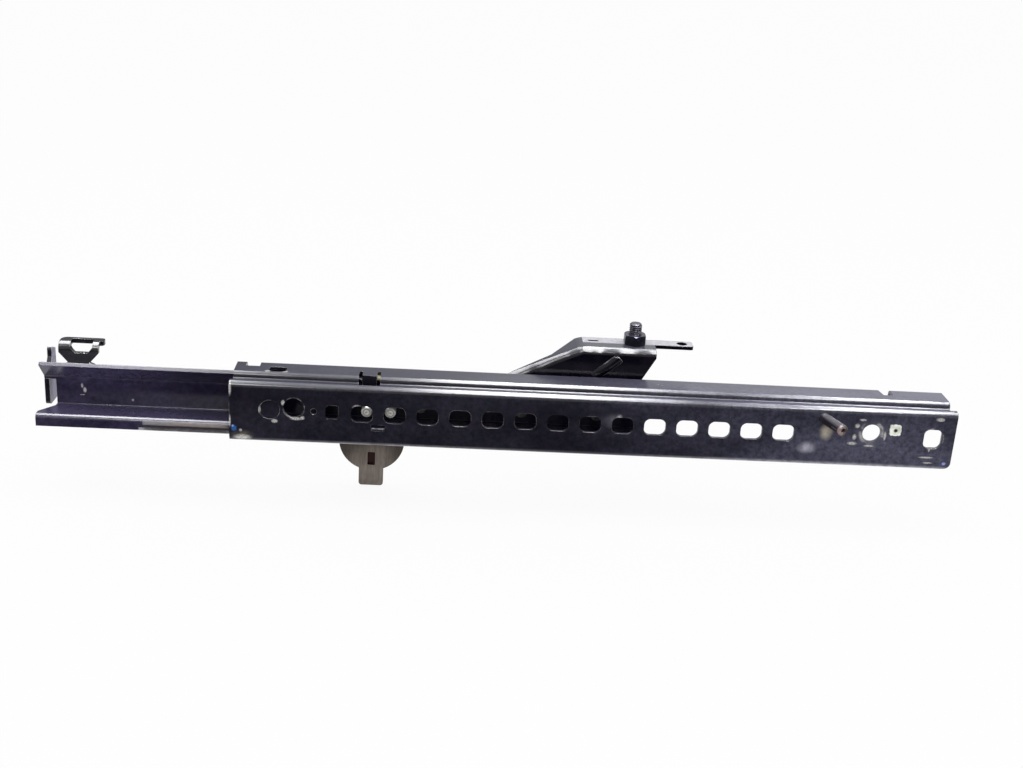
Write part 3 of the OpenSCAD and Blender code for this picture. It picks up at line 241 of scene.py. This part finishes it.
rail_chips_and_highlight = [
    # round the blank and the bolt hole at the left
    ((-11.5, 0, -9), (2.4, 2, 1.6)), ((-20.5, 0, -2), (1, 2, 3)), ((-6.4, 0, 3.2), (1.5, 2, 2.2)),
    ((1.6, 0, -6.9), (4.6, 2, 1.3)), ((5.4, 0, -6.2), (1.6, 2, 1.6)),
    # at two of the lock slots
    ((38.4, 0, 2), (3.4, 2, 2.2)), ((199, 0, 0.8), (2.6, 2, 5)),
    # round the bolt hole at the right
    ((347, 0, 4.4), (2, 2, 1.8)), ((346, 0, -3), (1.6, 2, 2.4)), ((345, 0, -7.4), (3.8, 2, 1.4)),
    ((356, 0, -8.6), (4, 2, 0.9)), ((365, 0, -1.5), (1.1, 2, 3.8)), ((350, 0, 8.5), (2.8, 2, 1)),
    # below and above the hole at the right end
    ((393, 0, -14.8), (6, 2, 0.8)), ((394.6, 0, -18.4), (4, 2, 0.7)), ((394.2, 0, -9.6), (0.8, 2, 1.8)),
    ((398.4, 0, 10.8), (3.4, 2, 1.6)),
    # at the hole in the top, and on the left end of the wall; the patch high on the left end is a painted
    # highlight
    ((-17, 10.4, 19.5), (2.4, 2, 2)), ((-6.5, 10.6, 19.5), (2.6, 2, 2)), ((-32.1, 0, -15.9), (1.2, 2, 1.2)),
    ((-31, 0, -20.6), (7, 3, 2.6)), ((-38.6, 0.6, 11), (1.4, 4, 6)), ((-38.6, 0, -10), (0.9, 2, 5)),
]
rail_rims = [
    ((-14.5, 0, -1.8), 6.2, 0.4, 0.3), ((0, 0, 0), 6.5, 0.7, 0.6), ((356.4, 0, 0), 6.8, 1.8, 1.2),
    ((395.3, 0, -2.3), 6.8, 0.8, 0.7),
]
# Rubbed patches; the two long pale strips at the bottom edge are a painted highlight on the lower bend.
rail_rubs_and_highlight = [
    ((328, 0, -0.6), (5.6, 2, 7), "#BDB4A2"), ((317, 0, -11.6), (7.5, 2, 5), "#B4B2C0"),
    ((-31, 0, -19.5), (9, 2, 5), "#67625A"), ((356, 0, 0), (15, 2, 13), "#5C5C68"),
    ((196, 0, 0.4), (9, 2, 6.5), "#625E68"), ((330, 2, -24.6), (190, 9, 5.4), "#DEDCE6"),
    ((60, 2, -24.4), (180, 8, 4.4), "#A9A7B0"),
]
rail_dabs = [
    ((-36.1, 0, -14.7), (2.5, 1.5, 3), "#2F5796"), ((-36.8, 0, -13.2), (1, 1, 1.1), "#7EA4DC"),
    ((405, 0, -18.6), (1.9, 1.5, 1.6), "#8E96D6"),
]
# The slope lightens the wall's film towards the right, a painted reflection.
rail_paint = electrocoat(
    "black electrocoat on rolled sheet", "#0B0A12", "#6E6E86", film=0.48, settled=0.44, edges=0.6,
    chips_and_glints=rail_chips_and_highlight, rims=rail_rims, rubs_and_painted_light=rail_rubs_and_highlight, dabs=rail_dabs, slope=(150, 350, 0.2))
dress(rail_paint, "outer_rail")

# Inner rail: the sliding strip, folded from 2.4 mm sheet into a lip, a web and a lower flange, with the
# bracket of the lock riveted to its back. Both have the same dip paint, and the lower balls have polished
# a bare track on the flange. The dark band under the track is painted shade.
slide_chips = [
    ((-134, 28.1, -2.2), (0.9, 2, 2)), ((-132.3, 28.1, -5.2), (1.2, 2, 2)), ((-134, 28.1, -8.4), (1.9, 2, 0.5)),
    ((-103, 28.1, -10.5), (1, 2, 1)),
]
slide_rubs = [((-132.6, 28, -5), (1.3, 2, 2.6), "#C9C7CC")]
ball_track_and_shade = [
    ((-66, 5, -16.4), (27, 3, 1.5), "#8C827E"), ((-84.6, 5, -16.4), (8.2, 3, 1.5), "#7B797F"),
    # painted shade: the dark band under the track
    ((-66, 5, -19.6), (27, 3, 1.6), "#1C1617"),
]
slide_paint = electrocoat(
    "black electrocoat on folded strip", "#110C20", "#7C73A0", film=0.24, settled=0.2, edges=0.6,
    chips_and_glints=slide_chips, rubs_and_painted_light=slide_rubs, worn_and_painted_light=ball_track_and_shade, slope=(-45, -120, 0.4))
dress(slide_paint, "inner_rail", "lock_bracket")

# Hook bracket: a 3 mm steel pressing fixed to the back of the inner rail's left end and bent forward over it.
# The bend carries an opening for a lug of the seat, and the paint on it is glossy and rubbed grey at the corners.
hook_paint = electrocoat(
    "black electrocoat on a bent pressing", "#0D0B12", "#777785", film=0.1, settled=0.18, edges=0.7, wave=1.2)
dress(hook_paint, "hook_bracket")

# End plate: a 3 mm steel strip on the end of the inner rail, with its edge to the front.
# Its flat side is painted a pale lilac grey over the black paint.
end_low, end_high = (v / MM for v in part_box("end_plate"))
end_middle = (end_low + end_high) / 2
end_pale_side = ((end_high.x, end_middle.y + 1.4, end_middle.z), (0.4, 9, 40), "#A6A4B8")
end_paint = electrocoat(
    "black electrocoat, rubbed pale on one side", "#0D0B12", "#777785", film=0.1, settled=0.12, edges=0.7,
    worn_and_painted_light=[end_pale_side])
dress(end_paint, "end_plate")

# Seat bracket: a deep pressing with a ramp, a flat top and a tongue, riveted to the back of the inner rail.
# Its paint is thick and glossy, and the tongue and the back of the flat are painted pale as a painted highlight.
# The drawn sheet is a little uneven, which breaks the reflections along its bends.
bracket_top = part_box("seat_bracket")[1].z / MM
# painted highlight: the tongue and the back of the flat are painted pale
bracket_pale_highlight = ((222, 56, bracket_top), (72, 14.6, 0.15), "#C9C8D0")
bracket_paint = electrocoat(
    "glossy black electrocoat on a drawn pressing", "#050410", "#6C6D7C", film=0.01, settled=0.5, edges=0.5,
    worn_and_painted_light=[bracket_pale_highlight], wave=2.6, shine=0.24)
dress(bracket_paint, "seat_bracket")


# Seat stud: an M8 welded stud with a rolled thread, zinc plated and dulled by handling.
# The thread is a helix of 1.25 mm pitch above the nut, on a plain shank with a flange under the bracket.
def plated(name, light, dark, size, roughness, stretch=(1, 1, 1), relief=0.12):
    """Bare or plated metal: two tones in patches of size mm, uneven polish and a grain drawn out by stretch."""
    mat = new_material(name)
    place = add(mat, "TexCoord", out="Object")
    drawn = add(mat, "Mapping", {"Vector": place, "Scale": [1 / s for s in stretch]})
    patches = add(mat, "TexNoise", {"Vector": drawn, "Scale": 1 / (size * MM), "Detail": 5.0})
    patches = add(mat, "MapRange", {"Value": patches, "From Min": 0.3, "From Max": 0.7})
    grain = add(mat, "TexNoise", {"Vector": drawn, "Scale": 8 / (size * MM), "Detail": 3.0})
    tone = add(mat, "MapRange", {"Value": grain, "From Min": 0.25, "From Max": 0.75, "To Min": 0.6, "To Max": 1.1})
    tone = add(mat, "Math", {0: patches, 1: tone}, operation="MULTIPLY")
    colour = add(mat, "Mix", {SHARE: tone, UNDER: linear(dark), OVER: linear(light)}, MIXED, data_type="RGBA")
    polish = add(mat, "MapRange", {"Value": grain, "From Min": 0.2, "From Max": 0.8,
                                   "To Min": roughness - 0.08, "To Max": roughness + 0.08})
    edge = add(mat, "Bevel", {"Radius": 0.25 * MM}, samples=4)
    skin = add(mat, "Bump", {"Height": grain, "Strength": relief, "Distance": 0.06 * MM, "Normal": edge})
    shader = add(mat, "BsdfPrincipled", {
        "Base Color": colour, "Roughness": polish, "Metallic": 1.0, "Normal": skin})
    add(mat, "OutputMaterial", {"Surface": shader})
    return mat


def new_object(name, mesh, mat):
    """A finished mesh as an object at the origin, with its material."""
    data = bpy.data.meshes.new(name)
    mesh.to_mesh(data)
    mesh.free()
    data.materials.append(mat)
    obj = bpy.data.objects.new(name, data)
    bpy.context.scene.collection.objects.link(obj)
    return obj


dull_zinc = plated("dulled zinc plate", "#4C4B52", "#1D1C23", size=5, roughness=0.3)
stud_low, stud_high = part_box("seat_stud")
stud_axis = (stud_low + stud_high) / 2
nut_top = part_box("seat_nut")[1].z
crest = 4 * MM
root = 3.42 * MM
pitch = 1.25 * MM
turns = 8
around = 40
chamfer = 0.8 * MM
flange_radius = 6.5 * MM
flange_top = stud_low.z + 2 * MM
shank_radius = 4.2 * MM
shank_top = nut_top + 0.4 * MM
stud = bmesh.new()
ridge = [(root, 0), (root, 0.14), (crest, 0.52), (crest, 0.70), (root, 1.08), (root, 1.25)]
points = [stud.verts.new((stud_axis.x + r, stud_axis.y, nut_top - pitch + z * MM)) for r, z in ridge]
edges = [stud.edges.new(pair) for pair in zip(points, points[1:])]
bmesh.ops.spin(stud, geom=points + edges, cent=(stud_axis.x, stud_axis.y, 0), axis=(0, 0, 1),
               dvec=(0, 0, pitch / around), angle=2 * math.pi * turns, steps=around * turns)
bmesh.ops.remove_doubles(stud, verts=stud.verts, dist=0.02 * MM)
for height, way in ((shank_top, -1), (stud_high.z, 1)):
    bmesh.ops.bisect_plane(stud, geom=stud.verts[:] + stud.edges[:] + stud.faces[:], plane_co=(0, 0, height),
                           plane_no=(0, 0, way), clear_outer=True)
for v in stud.verts:
    out = Vector((v.co.x - stud_axis.x, v.co.y - stud_axis.y))
    limit = crest - max(0, v.co.z - (stud_high.z - chamfer))
    if out.length > limit:
        v.co.x = stud_axis.x + out.x * limit / out.length
        v.co.y = stud_axis.y + out.y * limit / out.length
bmesh.ops.holes_fill(stud, edges=[e for e in stud.edges if e.is_boundary])
bmesh.ops.recalc_face_normals(stud, faces=stud.faces)
for low, high, radius in ((stud_low.z, flange_top, flange_radius), (flange_top, shank_top, shank_radius)):
    centre = Matrix.Translation((stud_axis.x, stud_axis.y, (low + high) / 2))
    drum = bmesh.ops.create_cone(stud, cap_ends=True, segments=48, radius1=radius, radius2=radius,
                                 depth=high - low, matrix=centre)
    drum_verts = set(drum["verts"])
    level = [e for e in stud.edges if len({round(v.co.z, 7) for v in e.verts}) == 1]
    rims = [e for e in level if drum_verts.issuperset(e.verts)]
    bmesh.ops.bevel(stud, geom=rims, offset=0.2 * MM, segments=2, profile=0.5, affect="EDGES", material=-1)
stud_piece = new_object("threaded_stud", stud, dull_zinc)
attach(stud_piece, "inner")
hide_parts("seat_stud")

# Nut: an M8 hexagon nut, 13 mm across its flats, cold formed and zinc plated.
# It is run down on the stud, and oil has darkened it to a deep grey.
dress(plated("oiled zinc plate", "#41414D", "#1C1C25", size=6, roughness=0.34), "seat_nut")

# Rivets: steel rivets that hold the seat bracket and the lock bracket on the web, and the pivot of the lock.
# Their heads are formed cold and zinc plated, which leaves them a pale, even grey.
rivet_zinc = plated("zinc plated rivet", "#9A999A", "#5F5E62", size=3, roughness=0.38)
dress(rivet_zinc, "seat_rivets", "lock_rivets", "lock_pivot")

# Stop pin: a steel pin riveted through the front wall, leaning to the right, with a drilled end.
# It is painted with the rail; its top is painted lighter as a painted highlight and a patch below its middle a
# darker brown as painted shade, and its end face is brown bare steel.
stop_low, stop_high = (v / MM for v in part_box("stop_pin"))
stop_middle = (stop_low.z + stop_high.z) / 2
stop_light_shade_and_face = [
    # painted highlight along the top
    ((stop_high.x - 8, stop_low.y + 9, stop_high.z + 0.4), (7, 9, 2), "#8F8A92"),
    # painted shade below the middle
    ((stop_high.x - 5, stop_low.y + 8, stop_middle - 2), (3, 9, 3), "#5A4642"),
    ((stop_high.x - 3.5, stop_low.y + 0.4, stop_middle), (6, 2, 6), "#C7ABA4"),
]
stop_paint = electrocoat(
    "black electrocoat on a pin", "#120D10", "#777580", film=0.16, settled=0.5, edges=0.8, rubs_and_painted_light=stop_light_shade_and_face)
dress(stop_paint, "stop_pin")


# Trim clip: a small white nylon clip with four lobes, pressed into the wall.
# Moulded nylon is waxy and a little see-through, with dirt in patches, and the hole in its middle is painted dark
# as painted shade.
def moulded(name, light, dark, shaded_holes=()):
    """Moulded nylon: a waxy skin with fine dirt in patches, and shaded_holes as (middle, half sizes) in mm, where
    holes are painted dark as painted shade.
    """
    mat = new_material(name)
    place = add(mat, "TexCoord", out="Object")
    grime = add(mat, "TexNoise", {"Vector": place, "Scale": 1 / (4 * MM), "Detail": 5.0})
    grime = add(mat, "MapRange", {"Value": grime, "From Min": 0.44, "From Max": 0.74}, **SMOOTH)
    colour = add(mat, "Mix", {SHARE: grime, UNDER: linear(light), OVER: linear(dark)}, MIXED, data_type="RGBA")
    # painted shade: this dark colour fills the shaded holes
    dirt = linear("#23261C")
    for middle, reach in shaded_holes:
        spot = patch(mat, place, middle, reach, 0.4)
        colour = add(mat, "Mix", {SHARE: spot, UNDER: colour, OVER: dirt}, MIXED, data_type="RGBA")
    polish = add(mat, "MapRange", {"Value": grime, "To Min": 0.36, "To Max": 0.56})
    wax = add(mat, "TexNoise", {"Vector": place, "Scale": 1 / (0.6 * MM), "Detail": 2.0})
    skin = add(mat, "Bump", {"Height": wax, "Strength": 0.1, "Distance": 0.05 * MM})
    shader = add(mat, "BsdfPrincipled", {
        "Base Color": colour, "Roughness": polish, "IOR": 1.53, "Subsurface Weight": 0.15,
        "Subsurface Radius": [2 * MM, 1.8 * MM, 1.5 * MM], "Normal": skin})
    add(mat, "OutputMaterial", {"Surface": shader})
    return mat


clip_low, clip_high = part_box("wall_clip")
clip_middle = (clip_low + clip_high) / 2 / MM
# The clip's middle hole is painted dark, a painted shade.
dress(moulded("white moulded nylon", "#FAFCF2", "#C9CBBC", [(clip_middle, (1.6, 9, 1.6))]), "wall_clip")

# Ball cages: two long moulded strips that space the balls, natural nylon gone yellow with grease.
# The left end of the upper one shows in the stop window.
dress(moulded("natural nylon, greased", "#E0DAAE", "#A39C6C"), "upper_cage", "lower_cage")

# Balls: hardened steel balls that run between the two rails, held in the cages.
# They are ground and polished, and a film of grease takes a little off the mirror.
ball_steel = plated("polished ball steel", "#C9C9CB", "#A3A2A2", size=2, roughness=0.16, relief=0.03)
dress(ball_steel, "upper_balls", "lower_balls")

# Lock pins: turned steel, bare and bright, with a groove in the face of each tip that goes into a slot.
# Dirt sits in the groove and in specks on the face, so the tips look almost white with dark marks; the nearly
# white tone is paler than bare steel, a painted light against the shade of the slots.
pin_low, pin_high = (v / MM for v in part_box("lock_pins"))
pin_middle = (pin_low.z + pin_high.z) / 2
pin_radius = (pin_high.z - pin_low.z) / 2
pin_steel = new_material("turned steel, bright and specked")
place = add(pin_steel, "TexCoord", out="Object")
grain = add(pin_steel, "TexNoise", {"Vector": place, "Scale": 1 / (1.1 * MM), "Detail": 4.0})
dirt = add(pin_steel, "MapRange", {"Value": grain, "From Min": 0.5, "From Max": 0.68, "To Max": 0.7})
for x in (pin_low.x + pin_radius, pin_high.x - pin_radius):
    for radius, width in ((pin_radius * 0.62, 0.7), (0, 0.9)):
        groove = rim(pin_steel, place, (x, 0, pin_middle), radius, width)
        groove = add(pin_steel, "Math", {0: groove, 1: 0.75}, operation="MULTIPLY")
        dirt = add(pin_steel, "Math", {0: dirt, 1: groove}, operation="MAXIMUM")
# painted light: this pale tone, with the low metallic below, keeps the pins bright in the shade of the slots
bright, soil = linear("#F4F2EC"), linear("#5B554E")
colour = add(pin_steel, "Mix", {SHARE: dirt, UNDER: bright, OVER: soil}, MIXED, data_type="RGBA")
polish = add(pin_steel, "MapRange", {"Value": grain, "To Min": 0.2, "To Max": 0.45})
edge = add(pin_steel, "Bevel", {"Radius": 0.3 * MM}, samples=4)
skin = add(pin_steel, "Bump", {"Height": grain, "Strength": 0.3, "Distance": 0.1 * MM, "Normal": edge})
shader = add(pin_steel, "BsdfPrincipled", {
    "Base Color": colour, "Roughness": polish, "Metallic": 0.55, "Normal": skin})
add(pin_steel, "OutputMaterial", {"Surface": shader})
dress(pin_steel, "lock_pins")

# Yoke and guide bushes: the bar that joins the pins, and the two bushes in the web that they run in.
# Both are turned steel, left bare, and oil gives them a warm grey.
turned_steel = plated("turned bare steel", "#B9B6AE", "#7F7A72", size=3, roughness=0.3, stretch=(1, 4, 1))
dress(turned_steel, "lock_yoke", "guide_bushes")

# Release plate: a blank of 2.5 mm steel, left bare, with faint upright rolling marks and a brown cast.
# Its top and sides are painted dark and its lower middle light, as painted shade and painted light, and the
# pocket pressed into it below the pivot is painted dark as painted shade.
# The marks are drawn coarser than real ones, so that they show.
plate_low, plate_high = (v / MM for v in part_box("lock_plate"))
plate_middle = (plate_low + plate_high) / 2
lit_middle = (plate_middle.x, plate_middle.y, plate_low.z + 12)
pocket_middle = (plate_middle.x, 42.6, -49.5)
plate_steel = new_material("bare rolled steel, oiled brown")
place = add(plate_steel, "TexCoord", out="Object")
drawn = add(plate_steel, "Mapping", {"Vector": place, "Scale": (1, 1, 0.12)})
brush = add(plate_steel, "TexNoise", {"Vector": drawn, "Scale": 1 / (1.2 * MM), "Detail": 4.0})
tone = add(plate_steel, "MapRange", {
    "Value": brush, "From Min": 0.3, "From Max": 0.7, "To Min": 0.38, "To Max": 0.62})
stain = add(plate_steel, "TexNoise", {"Vector": place, "Scale": 1 / (9 * MM), "Detail": 4.0})
stain = add(plate_steel, "MapRange", {
    "Value": stain, "From Min": 0.3, "From Max": 0.7, "To Min": 0.8, "To Max": 1.2})
# painted shade and light: lighter in the lower middle, darker towards the top and sides
lit_patch = patch(plate_steel, place, lit_middle, (26, 20, 30), 0.8)
lit_patch = add(plate_steel, "MapRange", {"Value": lit_patch, "To Min": 0.3, "To Max": 1.25})
for layer in (stain, lit_patch):
    tone = add(plate_steel, "Math", {0: tone, 1: layer}, operation="MULTIPLY")
# oiled is the dark tone, which also gives the painted shade; rubbed the light tone, which also gives the painted
# light; grime is the painted shade in the pocket
oiled, rubbed, grime = linear("#2A2422"), linear("#8B8179"), linear("#2A1816")
colour = add(plate_steel, "Mix", {SHARE: tone, UNDER: oiled, OVER: rubbed}, MIXED, data_type="RGBA")
# painted shade: the pocket is filled dark
pocket = strip(plate_steel, place, pocket_middle, (2.6, 1, 4.7), 0.05)
colour = add(plate_steel, "Mix", {SHARE: pocket, UNDER: colour, OVER: grime}, MIXED, data_type="RGBA")
polish = add(plate_steel, "MapRange", {"Value": brush, "To Min": 0.36, "To Max": 0.52})
edge = add(plate_steel, "Bevel", {"Radius": 0.25 * MM}, samples=4)
skin = add(plate_steel, "Bump", {"Height": brush, "Strength": 0.12, "Distance": 0.05 * MM, "Normal": edge})
shader = add(plate_steel, "BsdfPrincipled", {
    "Base Color": colour, "Roughness": polish, "Metallic": 0.85, "Normal": skin})
add(plate_steel, "OutputMaterial", {"Surface": shader})
dress(plate_steel, "lock_plate")

# Return spring: a torsion spring of 1.4 mm wire wound round the pivot, oil black.
# One leg bears on the back of the web and the other on the release plate.
spring_wire = plated("oil-blacked spring wire", "#4B4946", "#2A2927", size=2, roughness=0.35)
spring_low, spring_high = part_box("lock_spring")
pivot_low, pivot_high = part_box("lock_pivot")
axle = (pivot_low + pivot_high) / 2
wire_radius = 0.7 * MM
coil_radius = 3.3 * MM
front = axle.y - coil_radius
back = axle.y + coil_radius
leg = 13 * MM
beyond = 2 * MM
first = spring_low.x + wire_radius
last = spring_high.x - wire_radius
winds = 5
steps = 24
final_step = winds * steps + steps // 2
sides = 12
route = [Vector((first, front, axle.z - beyond + leg)), Vector((first, front, axle.z + beyond))]
for k in range(final_step + 1):
    turn = math.pi + 2 * math.pi * k / steps
    along = first + (last - first) * k / final_step
    route.append(Vector((along, axle.y + coil_radius * math.cos(turn), axle.z + coil_radius * math.sin(turn))))
route += [Vector((last, back, axle.z - beyond)), Vector((last, back, axle.z + beyond - leg))]
ring = [2 * math.pi * k / sides for k in range(sides)]
spring = bmesh.new()
loops = []
for i, point in enumerate(route):
    ahead = (route[min(i + 1, len(route) - 1)] - route[max(i - 1, 0)]).normalized()
    side = ahead.cross(Vector((1, 0, 0))).normalized()
    other = ahead.cross(side)
    spokes = [wire_radius * (side * math.cos(a) + other * math.sin(a)) for a in ring]
    loops.append([spring.verts.new(point + spoke) for spoke in spokes])
for here, there in zip(loops, loops[1:]):
    for k in range(sides):
        after = (k + 1) % sides
        spring.faces.new((here[k], here[after], there[after], there[k]))
for cut in (loops[0], loops[-1]):
    spring.faces.new(cut)
bmesh.ops.recalc_face_normals(spring, faces=spring.faces)
for face in spring.faces:
    face.smooth = len(face.verts) == 4
spring_piece = new_object("torsion_spring", spring, spring_wire)
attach(spring_piece, "inner")
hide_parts("lock_spring")


# Floor and light: a white table in a white room, with soft light from above. White cards overhead, which light
# nothing, give the broken white line along the rail's shoulder. A black card on the table keeps the front wall
# deep, and a graded card behind the table darkens the upper faces to the left.
def board(name, mat, *corners):
    """A flat sheet of the studio between four corners."""
    sheet = bmesh.new()
    sheet.faces.new([sheet.verts.new(corner) for corner in corners])
    obj = new_object(name, sheet, mat)
    return obj


def seen(owner):
    """1 for what the camera sees, also in a mirror or through glass."""
    look = add(owner, "LightPath", out="Is Camera Ray")
    for other in ("Is Glossy Ray", "Is Transmission Ray"):
        look = add(owner, "Math", {0: look, 1: add(owner, "LightPath", out=other)}, operation="MAXIMUM")
    return look


def lamp(name, middle, size, watts, card):
    """A level lamp that shines down; a card shows only in reflections."""
    data = bpy.data.lights.new(name, "AREA")
    data.shape = "RECTANGLE"
    data.size, data.size_y = size
    data.energy = watts
    obj = bpy.data.objects.new(name, data)
    obj.location = middle
    obj.visible_diffuse = not card
    bpy.context.scene.collection.objects.link(obj)


WHITE = (1, 1, 1, 1)
table = new_material("white table")
add(table, "OutputMaterial", {"Surface": add(table, "MixShader", {
    0: add(table, "Math", {0: seen(table), 1: 0.92}, operation="MULTIPLY"),
    1: add(table, "BsdfDiffuse", {"Color": linear("#F4F4F4")}),
    2: add(table, "Emission", {"Color": WHITE, "Strength": 1.0})})})
table_top = cad_box[0][2] - 0.4 * MM
board("floor", table, (-6, -6, table_top), (6, -6, table_top), (6, 6, table_top), (-6, 6, table_top))

black = new_material("black card")
add(black, "OutputMaterial", {"Surface": add(black, "Emission", {"Color": linear("#0C0C10"), "Strength": 1.0})})
card_top = table_top + 1 * MM
dark_card = board("black card", black, (-0.35, -0.6, card_top), (0.75, -0.6, card_top),
                  (0.75, -0.045, card_top), (-0.35, -0.045, card_top))
shade = new_material("grey card, darker to the left")
run = add(shade, "SeparateXYZ", {0: add(shade, "TexCoord", out="Object")})
tone = add(shade, "MapRange", {"Value": run, "From Min": -0.35, "From Max": 0.5, "To Min": 0.25}, **SMOOTH)
add(shade, "OutputMaterial", {"Surface": add(shade, "Emission", {"Color": WHITE, "Strength": tone})})
grey_card = board("graded card", shade, (-0.9, 1.5, 0.15), (0.5, 1.5, 0.15), (0.5, 1.5, 1.0), (-0.9, 1.5, 1.0))
for card in (dark_card, grey_card):
    card.visible_camera = False
    card.visible_diffuse = False
    card.visible_transmission = False
    card.visible_shadow = False

world = bpy.data.worlds.new("white room")
bpy.context.scene.world = world
world.use_nodes = True
world.node_tree.nodes.clear()
strength = add(world, "MapRange", {"Value": seen(world), "To Min": 0.8, "To Max": 1.0})
add(world, "OutputWorld", {"Surface": add(world, "Background", {"Color": WHITE, "Strength": strength})})

lamp("soft lamp", (0.1, -0.2, 1.3), (1.6, 1.0), watts=5, card=False)
lamp("middle card", (0.21, -0.15, 0.9), (0.26, 1.7), watts=62, card=True)
lamp("right card", (0.665, -0.15, 0.9), (0.13, 1.7), watts=38, card=True)
lamp("left card", (-0.31, 0.2, 0.9), (0.26, 1.0), watts=22, card=True)
lamp("low left card", (-0.31, -1.05, 0.9), (0.26, 0.8), watts=13, card=True)

# Camera: set to the photograph's view, from a little to the left of the rail's middle and 20 degrees above it.
# Its place and lens are fitted to the rail's slots, holes and edges.
camera = bpy.data.cameras.new("camera")
camera.lens = 49.107
camera.sensor_width = 36
camera.clip_start = 0.01
view = bpy.data.objects.new("camera", camera)
view.matrix_world = Matrix((
    (0.997814, -0.044599, -0.048787, 0.09015),
    (-0.030073, 0.350959, -0.935905, -0.79222),
    (0.058862, 0.935326, 0.348850, 0.31717),
    (0, 0, 0, 1)))
bpy.context.scene.collection.objects.link(view)
bpy.context.scene.camera = view
bpy.context.scene.view_settings.view_transform = "Standard"
